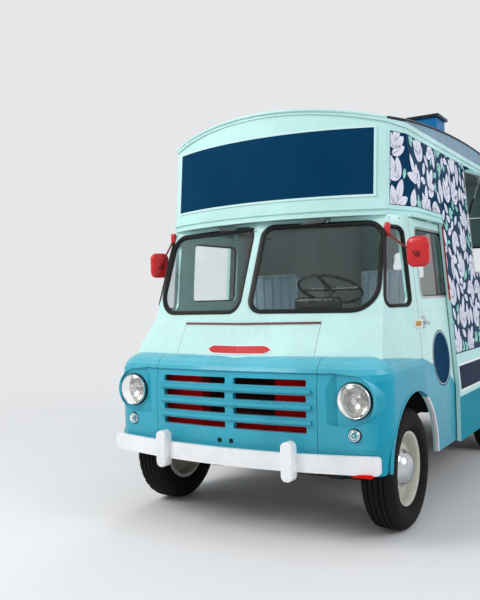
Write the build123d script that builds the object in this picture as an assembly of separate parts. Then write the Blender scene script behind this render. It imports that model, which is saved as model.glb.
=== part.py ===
from build123d import *
import os
from math import atan2, cos, degrees, hypot, radians, sin

# Forward-control food truck. Millimetres, +Z up, the front faces -Y and the driver sits on +X.
# It is drawn about its centre plane x = 0 with the front bumper near y = -2150, and every piece
# is shifted at the end so that the origin lies on the ground in the middle of the whole outline.

# Load body
BODY_HALF_WIDTH = 885.0
EAVE_HALF_WIDTH = 762.0
SILL_Z = 335.0
BELT_BREAK_Z = 675.0
EAVE_Z = 2210.0
CROWN_RISE = 100.0
ROOF_THICK = 26.0
ROOF_OVERHANG = 8.0
ROOF_SEAT = 22.0
ARCH_SPRING_Y = (-1500.0, 1800.0)
ARCH_RISE = 110.0
ARCH_CROWN_RISE = 60.0
ARCH_BANDS = 12
WALL = 25.0
SIDE_FRONT_Y = -750.0
REAR_Y = 1900.0
REAR_WALL = 40.0
REACH = 4 * BODY_HALF_WIDTH

# Cab above the belt: height, y at the centre line, then the corner pillar's inset and y
CAB_SECTIONS = (
    (955.0, -1985.0, 95.0, -1850.0),
    (1155.0, -1912.0, 137.0, -1708.0),
    (1705.0, -1668.0, 173.0, -1512.0),
)
CAB_SKIRT = 80.0
CAB_WALL = 28.0
CAB_TOP_Z = CAB_SECTIONS[-1][0]
CAB_BOTTOM_Z = CAB_SECTIONS[0][0]
DOOR_FRONT_Y = -1335.0
DOOR_RECESS = 31.0

# Windscreen pane: pillar inset and height of each corner, from the middle outwards and back
WINDSCREEN = ((851.0, 1191.0), (167.0, 1185.0), (185.0, 1665.0), (851.0, 1673.0))
WINDSCREEN_RADII = (70.0, 130.0, 90.0, 60.0)
QUARTER_WINDOW = ((-1680.0, 1205.0), (-1430.0, 1205.0), (-1432.0, 1637.0), (-1545.0, 1643.0))
QUARTER_RADIUS = 42.0

# Moulding over the bonnet hatch
MOULDING_HALF = 440.0
MOULDING_Z = 1122.0

# High-roof header over the cab
HEADER_CORNER = (BODY_HALF_WIDTH - 177, -1527.0)
HEADER_BOW = 185.0
HEADER_RAKE = 0.10
HEADER_SIDE_Y = -1240.0
HEADER_RAIL_Z = 1737.0
RAIL_BEAD = 9.0
DRIP_FRONT_Y = -1300.0

# Nose and front fenders
NOSE_CENTRE_Y = -2055.0
NOSE_SIDE = (BODY_HALF_WIDTH - 185, -2004.0)
FENDER_SIDE = (BODY_HALF_WIDTH - 29, -1840.0)
NOSE_BOTTOM_Z = 467.0
FENDER_BOTTOM_Z = 377.0
FENDER_CORNER = 35.0
NOSE_TOP_Z = CAB_BOTTOM_Z
NOSE_SHOULDER = 110.0
SHOULDER_BANDS = 6
NOSE_WALL = 28.0
NOSE_SEAM_X = 506.0
CREASE_Z = 880.0
CREASE_DEPTH = 18.0
CREASE_FADE = 80.0
CREASE_HALF = 600.0

# Grille: rows of slots with a centre bar, and ribs between the rows
SLOT_ROWS = 4
SLOT_TOP_Z = 844.0
SLOT_PITCH = 79.0
SLOT_HEIGHT = 36.0
SLOT_INNER_X = 26.0
SLOT_OUTER_X = 449.0
SLOT_CORNER = 9.0
RIB_HALF_LENGTH = 478.0
RIB_HEIGHT = 17.0
RIB_PROUD = 16.0

# Wheels and axles
WHEELBASE = 2286.0
FRONT_AXLE_Y = -1530.0
REAR_AXLE_Y = FRONT_AXLE_Y + WHEELBASE
WHEEL_X = 735.0
TYRE_RADIUS = 325.0
TYRE_WIDTH = 184.0
RIM_RADIUS = 196.0
RIM_WIDTH = 136.0
ARCH_RADIUS = 390.0
ARCH_Z = 353.0
FLANGE = 10.0
FLANGE_PROUD = 4.0
KINGPIN_X = 610.0
KINGPIN_RADIUS = 12.0
SPINDLE_RADIUS = 24.0
RUN_FIT = 0.1
SEAT_GAP = 0.3

# Sliding doors
DOOR_THICK = 28.0
DOOR_GAP = 6.0
DOOR_REAR_Y = -620.0
DOOR_TOP_Z = CAB_TOP_Z - DOOR_GAP
DOOR_WINDOW = (-1250.0, -698.0, 1247.0, 1647.0)
SLIDE_TRAVEL = 440.0
HANDLE_Y = (-1300.0, -1222.0)
HANDLE_Z = 1100.0

# Serving hatch on the +X side
HATCH_FRONT_Y = -50.0
HATCH_REAR_Y = 1200.0
HATCH_SILL_Z = 1415.0
HATCH_TOP_Z = 2155.0
HATCH_THICK = 22.0
HATCH_OPEN_SLOPE = 20.0

# Chassis
RAIL_X = 400.0
RAIL_WIDTH = 60.0
RAIL_BOTTOM_Z = 445.0
RAIL_TOP_Z = 565.0
RAIL_FRONT_Y = -1880.0
RAIL_REAR_Y = 1850.0
FLOOR_THICK = 30.0
FLOOR_TOP_Z = RAIL_TOP_Z + FLOOR_THICK
CAB_FLOOR_HALF_WIDTH = BODY_HALF_WIDTH - DOOR_RECESS - DOOR_THICK - 36
JACK_PAD_Y = (-960.0, 100.0)
JACK_PAD = (70.0, 120.0, 12.0)

# Lamps
HEADLAMP = (BODY_HALF_WIDTH - 188, -1992.0, 746.0)
HEADLAMP_RADIUS = 89.0
LAMP_BOWL = 38.0
LAMP_RING = 4.0
SCALLOP = ((-151.0, -128.0), (101.0, -128.0), (101.0, 112.0), (-151.0, 140.0))
SCALLOP_RADII = (42.0, 115.0, 112.0, 6.0)
SCALLOP_RISE = 36.0
SCALLOP_RUN = 56.0
HOOD_FRONT_RADIUS = 116.0
HOOD_BACK_RADIUS = 152.0
SIDE_LAMP = (BODY_HALF_WIDTH - 189, -2002.0, 577.0)
SIDE_LAMP_RADIUS = 32.0
REPEATER = (-1392.0, 1105.0)

os.makedirs("parts", exist_ok=True)
parts = {}


def block(x0, x1, y0, y1, z0, z1):
    """Box between two corners."""
    return Pos((x0 + x1) / 2, (y0 + y1) / 2, (z0 + z1) / 2) * Box(x1 - x0, y1 - y0, z1 - z0)


def flip(shape):
    """Copy on the other side of the centre plane."""
    return mirror(shape, about=Plane.YZ)


def both(shape):
    """A piece and its mirror image."""
    return shape + flip(shape)


def prism_y(points, y0, y1):
    """Outline in X and Z, extruded along Y."""
    face = make_face(Polyline(*[(x, y0, z) for x, z in points], close=True))
    return extrude(face, amount=y1 - y0, dir=(0, 1, 0))


def prism_z(points, z0, z1):
    """Outline in X and Y, extruded upwards."""
    face = make_face(Polyline(*[(x, y, z0) for x, y in points], close=True))
    return extrude(face, amount=z1 - z0, dir=(0, 0, 1))


def prism_x(points, x0, x1):
    """Outline in Y and Z, extruded along X."""
    face = make_face(Polyline(*[(x0, y, z) for y, z in points], close=True))
    return extrude(face, amount=x1 - x0, dir=(1, 0, 0))


def cone_y(x, y0, y1, z, radius0, radius1):
    """Cone along Y with its radius at each end."""
    return Pos(x, (y0 + y1) / 2, z) * Rot(-90, 0, 0) * Cone(radius0, radius1, y1 - y0)


def rod_x(x0, x1, y, z, radius):
    return Pos((x0 + x1) / 2, y, z) * Rot(0, 90, 0) * Cylinder(radius, x1 - x0)


def rod_y(x, y0, y1, z, radius):
    return Pos(x, (y0 + y1) / 2, z) * Rot(90, 0, 0) * Cylinder(radius, y1 - y0)


def rod_z(x, y, z0, z1, radius):
    return Pos(x, y, (z0 + z1) / 2) * Cylinder(radius, z1 - z0)


def side_x(z):
    """Half-width of the load body's outer face at a height."""
    if z <= BELT_BREAK_Z:
        return BODY_HALF_WIDTH
    lean = (BODY_HALF_WIDTH - EAVE_HALF_WIDTH) / (EAVE_Z - BELT_BREAK_Z)
    return BODY_HALF_WIDTH - (z - BELT_BREAK_Z) * lean


def side_slab(inset, thick, y0, y1, z0, z1):
    """Slab that follows the body side, its outer face inset from the body's own."""
    heights = [z0] + ([BELT_BREAK_Z] if z0 < BELT_BREAK_Z < z1 else []) + [z1]
    outer = [(side_x(z) - inset, z) for z in heights]
    inner = [(x - thick, z) for x, z in reversed(outer)]
    return prism_y(outer + inner, y0, y1)


def rounded_prism_y(points, radii, y0, y1):
    """Outline in X and Z with a corner radius at each point, extruded along Y."""
    line = FilletPolyline(*[(x, y0, z) for x, z in points], radius=radii, close=True)
    return extrude(make_face(line), amount=y1 - y0, dir=(0, 1, 0))


def rounded_prism_x(points, radii, x0, x1):
    """Outline in Y and Z with a corner radius at each point, extruded along X."""
    line = FilletPolyline(*[(x0, y, z) for y, z in points], radius=radii, close=True)
    return extrude(make_face(line), amount=x1 - x0, dir=(1, 0, 0))


# Roof arc, shared by the roof and by everything that ends under it

def above_arc(lift):
    """All space above the roof arc, raised by lift."""
    z_edge = EAVE_Z + lift
    y = -REACH
    beyond, below, top = 1.3 * EAVE_HALF_WIDTH, z_edge - 30, z_edge + REACH / 4
    arc = ThreePointArc(
        (-EAVE_HALF_WIDTH, y, z_edge),
        (0, y, z_edge + CROWN_RISE),
        (EAVE_HALF_WIDTH, y, z_edge),
    )
    rest = Polyline(
        (EAVE_HALF_WIDTH, y, z_edge),
        (beyond, y, below),
        (beyond, y, top),
        (-beyond, y, top),
        (-beyond, y, below),
        (-EAVE_HALF_WIDTH, y, z_edge),
    )
    return extrude(make_face([arc, rest]), amount=2 * REACH, dir=(0, 1, 0))


UNDER_ROOF_CUT = above_arc(0)


def roof_dome(drop):
    """Solid under the roof's domed top, lowered by drop: an arch along each side, a crown across."""
    spring0, spring1 = ARCH_SPRING_Y
    stations = [(-REACH, 0.0), (spring0, 0.0)]
    for step in range(1, ARCH_BANDS):
        share = step / ARCH_BANDS
        stations.append((spring0 + share * (spring1 - spring0), 1 - (2 * share - 1) ** 2))
    stations += [(spring1, 0.0), (REACH, 0.0)]
    beyond, floor_z = EAVE_HALF_WIDTH + 60, EAVE_Z - 60
    sections = []
    for y, lift in stations:
        edge_z = EAVE_Z + ROOF_THICK + lift * ARCH_RISE - drop
        crown_z = edge_z + CROWN_RISE + lift * (ARCH_CROWN_RISE - CROWN_RISE)
        arc = ThreePointArc((-EAVE_HALF_WIDTH, y, edge_z), (0, y, crown_z),
                            (EAVE_HALF_WIDTH, y, edge_z))
        rest = Polyline((EAVE_HALF_WIDTH, y, edge_z), (beyond, y, edge_z - 4), (beyond, y, floor_z),
                        (-beyond, y, floor_z), (-beyond, y, edge_z - 4),
                        (-EAVE_HALF_WIDTH, y, edge_z))
        sections.append(make_face([arc, rest]))
    return loft(sections, ruled=True)


ROOF_DOME = roof_dome(0)


def header_plan(offset, z0, z1):
    """Prism inside the header's bowed front and tapered sides, leaning back as it rises."""
    x, y = HEADER_CORNER[0] - offset, HEADER_CORNER[1] + offset
    lean_y = (z0 - CAB_TOP_Z) * HEADER_RAKE
    y0, side_y = y + lean_y, HEADER_SIDE_Y + lean_y
    side, wide = side_x(CAB_TOP_Z) - offset, side_x(CAB_TOP_Z) + 60
    rear = REAR_Y + 300
    front = ThreePointArc((-x, y0, z0), (0, y0 - HEADER_BOW, z0), (x, y0, z0))
    rest = Polyline(
        (x, y0, z0), (side, side_y, z0), (wide, side_y, z0), (wide, rear, z0),
        (-wide, rear, z0), (-wide, side_y, z0), (-side, side_y, z0), (-x, y0, z0),
    )
    return extrude(make_face([front, rest]), amount=hypot(1, HEADER_RAKE) * (z1 - z0),
                   dir=(0, HEADER_RAKE, 1))


def body_core(inset, y0, y1, z0, z1):
    """Full-width block with the body's leaning sides, inset all round."""
    heights = [z0] + ([BELT_BREAK_Z] if z0 < BELT_BREAK_Z < z1 else []) + [z1]
    right = [(side_x(z) - inset, z) for z in heights]
    left = [(-x, z) for x, z in reversed(right)]
    return prism_y(right + left, y0, y1)


def header_block(inset, z0, z1, y0, y1):
    """Solid of the header's outline between two heights, inset all round."""
    return body_core(inset, y0, y1, z0, z1) & header_plan(inset, z0, z1)


def make_header():
    """Hollow header with a rail bead round it and a drip bead over each door."""
    top = EAVE_Z + CROWN_RISE + 60
    outer = header_block(0, CAB_TOP_Z, top, -REACH, SIDE_FRONT_Y)
    for z, y0 in ((HEADER_RAIL_Z, -REACH), (CAB_TOP_Z, DRIP_FRONT_Y)):
        outer = outer + header_block(-RAIL_BEAD, z, z + RAIL_BEAD, y0, SIDE_FRONT_Y)
    inner = header_block(WALL, CAB_TOP_Z - 10, top + 10, -REACH, SIDE_FRONT_Y + 10)
    return outer - inner - UNDER_ROOF_CUT


def roof_plan(offset):
    """Tall prism inside the roof's outline, its edges moved inwards by offset."""
    z0, z1 = EAVE_Z - 40, EAVE_Z + ARCH_RISE + 2 * CROWN_RISE
    edge = EAVE_HALF_WIDTH - offset
    return block(-edge, edge, -REACH, REAR_Y - offset, z0, z1) & header_plan(offset, z0, z1)


def make_roof():
    """Domed shell whose rim rests on the walls, with an upright arch along each side."""
    shell = roof_plan(-ROOF_OVERHANG) & ROOF_DOME & UNDER_ROOF_CUT
    return shell - (roof_plan(ROOF_SEAT) & roof_dome(ROOF_THICK + 4))


def cab_section(below):
    """The cab's lowest section, carried on down by a distance."""
    (z0, cy0, in0, py0), (z1, cy1, in1, py1) = CAB_SECTIONS[:2]
    t = -below / (z1 - z0)
    return z0 - below, cy0 + t * (cy1 - cy0), in0 + t * (in1 - in0), py0 + t * (py1 - py0)


def cab_loft(offset):
    """Solid of the cab between the nose and the header, its faces moved inwards by offset."""
    reach = 1.0 if offset > 0 else 0.0
    faces = []
    for z, centre_y, inset, pillar_y in (cab_section(CAB_SKIRT + reach), *CAB_SECTIONS):
        door_x = side_x(z) - DOOR_RECESS - offset
        px, py = BODY_HALF_WIDTH - inset - offset, pillar_y + offset
        bend_y = DOOR_FRONT_Y - 80 + offset / 2
        z += reach if z == CAB_TOP_Z else 0
        half = [(px, py), (door_x, bend_y), (door_x, DOOR_FRONT_Y + reach)]
        points = [(0, centre_y + offset), *half, *[(-x, y) for x, y in reversed(half)]]
        faces.append(make_face(Polyline(*[(x, y, z) for x, y in points], close=True)))
    return loft(faces, ruled=True)


def windscreen_cutter():
    points = [(BODY_HALF_WIDTH - inset, z) for inset, z in WINDSCREEN]
    return rounded_prism_y(points, WINDSCREEN_RADII, -REACH, DOOR_FRONT_Y)


def quarter_cutter():
    x0, x1 = BODY_HALF_WIDTH - 225, BODY_HALF_WIDTH + 75
    return rounded_prism_x(QUARTER_WINDOW, QUARTER_RADIUS, x0, x1)


def make_cab_front(nose_solid):
    """Upper cab with its window openings, standing on the nose."""
    moulding = cab_loft(-6) & block(-MOULDING_HALF, MOULDING_HALF, -REACH, DOOR_FRONT_Y,
                                    MOULDING_Z, MOULDING_Z + 9)
    shell = cab_loft(0) + moulding - cab_loft(CAB_WALL)
    shell = shell - both(windscreen_cutter()) - both(quarter_cutter())
    return shell - nose_solid


def make_cab_glass():
    pane = cab_loft(9) - cab_loft(15)
    return (pane & both(windscreen_cutter())) + (pane & both(quarter_cutter()))


def nose_lines(offset, z):
    """Outline of the bowed nose and rounded fender corners at a height, closed at the doors."""
    sx, sy = NOSE_SIDE[0] - offset * 0.6, NOSE_SIDE[1] + offset
    fx, fy = FENDER_SIDE[0] - offset, FENDER_SIDE[1] + offset * 0.4
    bend = (sx + (fx - sx) * 0.72, sy + (fy - sy) * 0.30)
    return [
        ThreePointArc((-sx, sy, z), (0, NOSE_CENTRE_Y + offset, z), (sx, sy, z)),
        ThreePointArc((sx, sy, z), (*bend, z), (fx, fy, z)),
        Polyline((fx, fy, z), (fx, DOOR_FRONT_Y, z), (-fx, DOOR_FRONT_Y, z), (-fx, fy, z)),
        ThreePointArc((-fx, fy, z), (-bend[0], bend[1], z), (-sx, sy, z)),
    ]


def nose_prism(offset, z0, z1):
    """Prism inside the bowed nose and rounded fender corners."""
    return extrude(make_face(nose_lines(offset, z0)), amount=z1 - z0, dir=(0, 0, 1))


def nose_block(offset, z0):
    """Nose prism with its shoulder rounded over in narrow bands."""
    radius = NOSE_SHOULDER - offset
    z1 = NOSE_TOP_Z - offset - radius
    rings = []
    for step in range(SHOULDER_BANDS + 1):
        turn = radians(90 * step / SHOULDER_BANDS)
        lines = nose_lines(offset + radius * (1 - cos(turn)), z1 + radius * sin(turn))
        rings.append(make_face(lines))
    return nose_prism(offset, z0, z1) + loft(rings, ruled=True)


def crease_cutter():
    """Tapered layer taken off the face under the shoulder, deepest at the crease."""
    z0, z1 = CREASE_Z - CREASE_FADE, CREASE_Z
    band = block(-CREASE_HALF, CREASE_HALF, -REACH, NOSE_SIDE[1] + 60, z0, z1)
    low, high = make_face(nose_lines(0, z0)), make_face(nose_lines(CREASE_DEPTH, z1))
    return band - loft([low, high], ruled=True)


def make_nose_shell(outer):
    inner = nose_block(NOSE_WALL, FENDER_BOTTOM_Z - 10)
    z, cy, inset, py = CAB_SECTIONS[0]
    px, door_x = BODY_HALF_WIDTH - inset - CAB_WALL, side_x(z) - DOOR_RECESS - CAB_WALL
    half = [(px, py + CAB_WALL), (door_x, DOOR_FRONT_Y - 60), (door_x, DOOR_FRONT_Y + 10)]
    outline = [(0, cy + CAB_WALL), *half, *[(-x, y) for x, y in reversed(half)]]
    well = prism_z(outline, NOSE_TOP_Z - NOSE_SHOULDER, NOSE_TOP_Z + 10)
    return outer - inner - well - crease_cutter()


def make_nose_panel(shell):
    panel = shell & block(-NOSE_SEAM_X, NOSE_SEAM_X, -REACH, DOOR_FRONT_Y, NOSE_BOTTOM_Z, NOSE_TOP_Z)
    face_y = NOSE_SIDE[1] + NOSE_WALL + 15
    for row in range(SLOT_ROWS):
        z1 = SLOT_TOP_Z - row * SLOT_PITCH
        z0 = z1 - SLOT_HEIGHT
        corners = [(SLOT_INNER_X, z0), (SLOT_OUTER_X, z0), (SLOT_OUTER_X, z1), (SLOT_INNER_X, z1)]
        panel = panel - both(rounded_prism_y(corners, SLOT_CORNER, -REACH, face_y))
    for row in range(SLOT_ROWS - 1):
        z = SLOT_TOP_Z - SLOT_HEIGHT - (SLOT_PITCH - SLOT_HEIGHT) / 2 - row * SLOT_PITCH
        bar = nose_prism(-RIB_PROUD, z - RIB_HEIGHT / 2, z + RIB_HEIGHT / 2)
        bar = bar - nose_prism(NOSE_WALL / 2, z - RIB_HEIGHT, z + RIB_HEIGHT)
        panel = panel + (bar & block(-RIB_HALF_LENGTH, RIB_HALF_LENGTH, -REACH, face_y,
                                     z - RIB_HEIGHT, z + RIB_HEIGHT))
    return panel


def scallop_cutter():
    """Pocket round the headlamp, running out to nothing towards the grille."""
    x, y, z = HEADLAMP
    outline = rounded_prism_y([(x + dx, z + dz) for dx, dz in SCALLOP], SCALLOP_RADII, -REACH, y)
    left, right = x + SCALLOP[0][0], x + SCALLOP[1][0]
    floor = prism_z([(left - 1, y - SCALLOP_RISE), (left + SCALLOP_RUN, y), (right + 60, y),
                     (right + 60, -REACH),
                     (left - 1, -REACH)], z - 200, z + 200)
    return outline & floor


def lamp_seats():
    """Bores in a fender for the lamps."""
    x, y, z = HEADLAMP
    bore = rod_y(x, y - 10, y + 200, z, HEADLAMP_RADIUS - 8)
    sx, sy, sz = SIDE_LAMP
    return bore + rod_y(sx, sy - 60, sy, sz, SIDE_LAMP_RADIUS + 2)


def arch_flange(y, x_face):
    """Rolled lip round a wheel arch, standing proud of the side."""
    x0, x1 = x_face - FLANGE, x_face + FLANGE_PROUD
    ring = rod_x(x0, x1, y, ARCH_Z, ARCH_RADIUS + FLANGE)
    return ring - rod_x(x0 - 1, x1 + 1, y, ARCH_Z, ARCH_RADIUS)


def corner_cutter():
    """Rounds the fender's lower corner where the arch meets its bottom edge."""
    reach = ARCH_RADIUS + FENDER_CORNER
    cz = FENDER_BOTTOM_Z + FENDER_CORNER
    rise = cz - ARCH_Z
    cy = FRONT_AXLE_Y - (reach ** 2 - rise ** 2) ** 0.5
    share = ARCH_RADIUS / reach
    touch = (FRONT_AXLE_Y + (cy - FRONT_AXLE_Y) * share, ARCH_Z + rise * share)
    x0, x1 = NOSE_SEAM_X, BODY_HALF_WIDTH + 50
    wedge = prism_x([(cy, FENDER_BOTTOM_Z - 20), (touch[0] + 20, FENDER_BOTTOM_Z - 20), touch,
                     (cy, cz)], x0, x1)
    return wedge - rod_x(x0 - 1, x1 + 1, cy, cz, FENDER_CORNER)


def make_fender(shell):
    """Front fender of the +X side with its arch and headlamp scallop."""
    x, y, z = HEADLAMP
    hood = cone_y(x, y - 12, y + 112, z, HOOD_FRONT_RADIUS, HOOD_BACK_RADIUS)
    hood = hood - nose_prism(NOSE_WALL, FENDER_BOTTOM_Z, NOSE_TOP_Z)
    lip = arch_flange(FRONT_AXLE_Y, FENDER_SIDE[0])
    piece = shell + hood + (lip & block(0, REACH, -REACH, DOOR_FRONT_Y, FENDER_BOTTOM_Z, NOSE_TOP_Z))
    piece = piece & block(NOSE_SEAM_X, REACH, -REACH, DOOR_FRONT_Y, FENDER_BOTTOM_Z, NOSE_TOP_Z)
    piece = piece - rod_x(KINGPIN_X - 50, BODY_HALF_WIDTH + 115, FRONT_AXLE_Y, ARCH_Z, ARCH_RADIUS)
    return piece - scallop_cutter() - corner_cutter() - lamp_seats()


def make_front_lamps():
    x, y, z = HEADLAMP
    ring = rod_y(x, y - 26, y, z, HEADLAMP_RADIUS + LAMP_RING)
    bowl = rod_y(x, y, y + LAMP_BOWL, z, HEADLAMP_RADIUS - 8 - SEAT_GAP)
    lens_radius = 2.1 * HEADLAMP_RADIUS
    lens = Pos(x, y - 44 + lens_radius, z) * Sphere(lens_radius)
    lens = lens & rod_y(x, y - 60, y - 24, z, HEADLAMP_RADIUS)
    sx, sy, sz = SIDE_LAMP
    small = rod_y(sx, sy - 14, sy, sz, SIDE_LAMP_RADIUS)
    dome = Pos(sx, sy - 14, sz) * Sphere(SIDE_LAMP_RADIUS - 6)
    dome = dome & rod_y(sx, sy - 60, sy - 10, sz, SIDE_LAMP_RADIUS)
    return both(ring + bowl + lens) + both(small + dome) + both(make_repeater())


def make_repeater():
    """Small direction lamp on the cab's side in front of the door."""
    y, z = REPEATER
    x = side_x(z) - DOOR_RECESS
    box = fillet(block(x - 6, x + 16, y - 32, y + 32, z - 22, z + 22).edges(), 5)
    return box - cab_loft(0)


def make_side(is_serving_side):
    wall = side_slab(0, WALL, SIDE_FRONT_Y, REAR_Y - REAR_WALL, SILL_Z, EAVE_Z + 60)
    lip = arch_flange(REAR_AXLE_Y, BODY_HALF_WIDTH) & side_slab(-FLANGE_PROUD, FLANGE, SIDE_FRONT_Y,
                                                                REAR_Y, SILL_Z, EAVE_Z)
    wall = wall + lip - rod_x(WHEEL_X - 35, BODY_HALF_WIDTH + 115, REAR_AXLE_Y, ARCH_Z, ARCH_RADIUS)
    wall = wall - UNDER_ROOF_CUT
    if is_serving_side:
        inner = side_x(HATCH_TOP_Z) - WALL - 100
        wall = wall - block(inner, BODY_HALF_WIDTH + 100, HATCH_FRONT_Y, HATCH_REAR_Y, HATCH_SILL_Z,
                            HATCH_TOP_Z)
        return wall + hinge_lugs() + strut_brackets()
    return wall


# Serving hatch and its gas struts

LEAN = atan2(BODY_HALF_WIDTH - EAVE_HALF_WIDTH, EAVE_Z - BELT_BREAK_Z)
HINGE_RADIUS = 8.0
HINGE_PIN_RADIUS = 4.0
HINGE_X = side_x(HATCH_TOP_Z) + HINGE_RADIUS + 1
HINGE_Z = HATCH_TOP_Z + 4
HATCH_SWING = 90 - degrees(LEAN) - HATCH_OPEN_SLOPE
HINGE_STATIONS = (60.0, 460.0, 860.0, 1150.0)
HINGE_LUG = 30.0
HINGE_BARREL = 60.0


def hinge_lugs():
    """Pin and lugs of the hatch hinge, on the body side."""
    piece = None
    for y in HINGE_STATIONS:
        for end in (-1, 1):
            y0 = y + end * (HINGE_BARREL / 2 + SEAT_GAP)
            y1 = y0 + end * HINGE_LUG
            lo, hi = min(y0, y1), max(y0, y1)
            lug = rod_y(HINGE_X, lo, hi, HINGE_Z, HINGE_RADIUS)
            lug = lug + block(side_x(HATCH_TOP_Z + 20) - 4, HINGE_X, lo, hi, HINGE_Z, HINGE_Z + 14)
            piece = lug if piece is None else piece + lug
        pin = rod_y(HINGE_X, y - HINGE_BARREL / 2 - 1, y + HINGE_BARREL / 2 + 1, HINGE_Z,
                    HINGE_PIN_RADIUS)
        piece = piece + pin
    return piece


def make_hatch():
    """Flap drawn closed in its opening, then swung up about its hinge."""
    flap = side_slab(0, HATCH_THICK, HATCH_FRONT_Y + DOOR_GAP, HATCH_REAR_Y - DOOR_GAP,
                     HATCH_SILL_Z + DOOR_GAP, HATCH_TOP_Z - DOOR_GAP)
    for y in HINGE_STATIONS:
        y0, y1 = y - HINGE_BARREL / 2, y + HINGE_BARREL / 2
        leaf = block(HINGE_X - 12, HINGE_X + HINGE_RADIUS, y0, y1, HATCH_TOP_Z - 40, HATCH_TOP_Z - 8)
        leaf = leaf + block(HINGE_X - 5, HINGE_X + HINGE_RADIUS, y0, y1, HATCH_TOP_Z - 10, HINGE_Z)
        barrel = leaf + rod_y(HINGE_X, y0, y1, HINGE_Z, HINGE_RADIUS)
        bore = rod_y(HINGE_X, y0 - 1, y1 + 1, HINGE_Z, HINGE_PIN_RADIUS + RUN_FIT)
        flap = flap + barrel - bore
    axis = Axis((HINGE_X, 0, HINGE_Z), (0, 1, 0))
    flap = flap.rotate(axis, -HATCH_SWING)
    ex, ez = strut_eye(0)
    for y, way in zip(STRUT_STATIONS, (1, -1)):
        near = y + way * (EYE_WIDTH / 2 + SEAT_GAP)
        far = near + way * LUG_THICK
        rise = STRUT_DROP - HINGE_RADIUS - 1 - HATCH_THICK + 2
        lug = Pos(ex, (near + far) / 2, ez) * Rot(0, HATCH_OPEN_SLOPE, 0) * Pos(
            0, 0, (rise - EYE_RADIUS) / 2) * Box(26, LUG_THICK, rise + EYE_RADIUS)
        flap = flap + lug
    return flap


STRUT_STATIONS = (HATCH_FRONT_Y + 28, HATCH_REAR_Y - 28)
STRUT_FOOT = (side_x(HATCH_TOP_Z) - 12, HATCH_TOP_Z - 430)
STRUT_ARM = 120.0
STRUT_DROP = 60.0
STRUT_PIN_RADIUS = 4.0
EYE_RADIUS = 9.0
EYE_WIDTH = 12.0
LUG_THICK = 5.0
STRUT_TUBE_LENGTH = 225.0
STRUT_TUBE_RADIUS = 8.0
NECK_TOP = 17.0
STRUT_ROD_RADIUS = 3.5


def strut_eye(angle):
    """Place of the strut's upper eye with the hatch at an angle from open, in X and Z."""
    slope = radians(-HATCH_OPEN_SLOPE + angle)
    along = (cos(slope), sin(slope))
    inward = (sin(slope), -cos(slope))
    return (HINGE_X + STRUT_ARM * along[0] + STRUT_DROP * inward[0],
            HINGE_Z + STRUT_ARM * along[1] + STRUT_DROP * inward[1])


def strut_line(angle):
    """Length and direction, in degrees above +X, from the strut's foot to its eye."""
    ex, ez = strut_eye(angle)
    dx, dz = ex - STRUT_FOOT[0], ez - STRUT_FOOT[1]
    return hypot(dx, dz), degrees(atan2(dz, dx))


def strut_brackets():
    """Brackets and pins on the body side for the feet of the struts."""
    x, z = STRUT_FOOT
    piece = None
    wall_x = side_x(z) - WALL
    for y, way in zip(STRUT_STATIONS, (-1, 1)):
        near = y + way * (EYE_WIDTH / 2 + SEAT_GAP)
        edge = HATCH_FRONT_Y if way < 0 else HATCH_REAR_Y
        far = edge + way * 30
        arm = rod_y(x, min(near, far), max(near, far), z, 11)
        foot = block(x - 12, wall_x + 8, min(edge + way * 2, far), max(edge + way * 2, far), z - 12,
                     z + 12)
        foot = foot & body_core(WALL, -500, REAR_Y, z - 40, z + 40)
        pin = rod_y(x, min(y - way * 6, near), max(y - way * 6, near), z, STRUT_PIN_RADIUS)
        bracket = arm + foot + pin
        piece = bracket if piece is None else piece + bracket
    return piece


def make_strut_pieces():
    """Tubes pinned to the body and rods that reach the flap, both ends alike."""
    length, slope = strut_line(0)
    stroke = length - strut_line(-HATCH_SWING)[0]
    bore_low = NECK_TOP + 6
    rod_low = bore_low + stroke + 8
    tubes, rods = None, None
    for y in STRUT_STATIONS:
        place = Pos(STRUT_FOOT[0], y, STRUT_FOOT[1]) * Rot(0, 90 - slope, 0)
        tube = Pos(0, 0, (STRUT_TUBE_LENGTH + NECK_TOP) / 2) * Cylinder(
            STRUT_TUBE_RADIUS, STRUT_TUBE_LENGTH - NECK_TOP)
        neck = Pos(0, 0, NECK_TOP / 2 + 4) * Cylinder(5, NECK_TOP - 4)
        bore = Pos(0, 0, (bore_low + STRUT_TUBE_LENGTH + 1) / 2) * Cylinder(
            STRUT_ROD_RADIUS + RUN_FIT, STRUT_TUBE_LENGTH + 1 - bore_low)
        ball = Rot(90, 0, 0) * Cylinder(EYE_RADIUS, EYE_WIDTH)
        hole = Rot(90, 0, 0) * Cylinder(STRUT_PIN_RADIUS + RUN_FIT, EYE_WIDTH + 2)
        tube = place * (tube + neck + ball - hole - bore)
        rod = Pos(0, 0, (rod_low + length) / 2) * Cylinder(STRUT_ROD_RADIUS, length - rod_low)
        rod = place * (rod + Pos(0, 0, length) * ball - Pos(0, 0, length) * hole)
        tubes = tube if tubes is None else tubes + tube
        rods = rod if rods is None else rods + rod
    return tubes, rods


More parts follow.
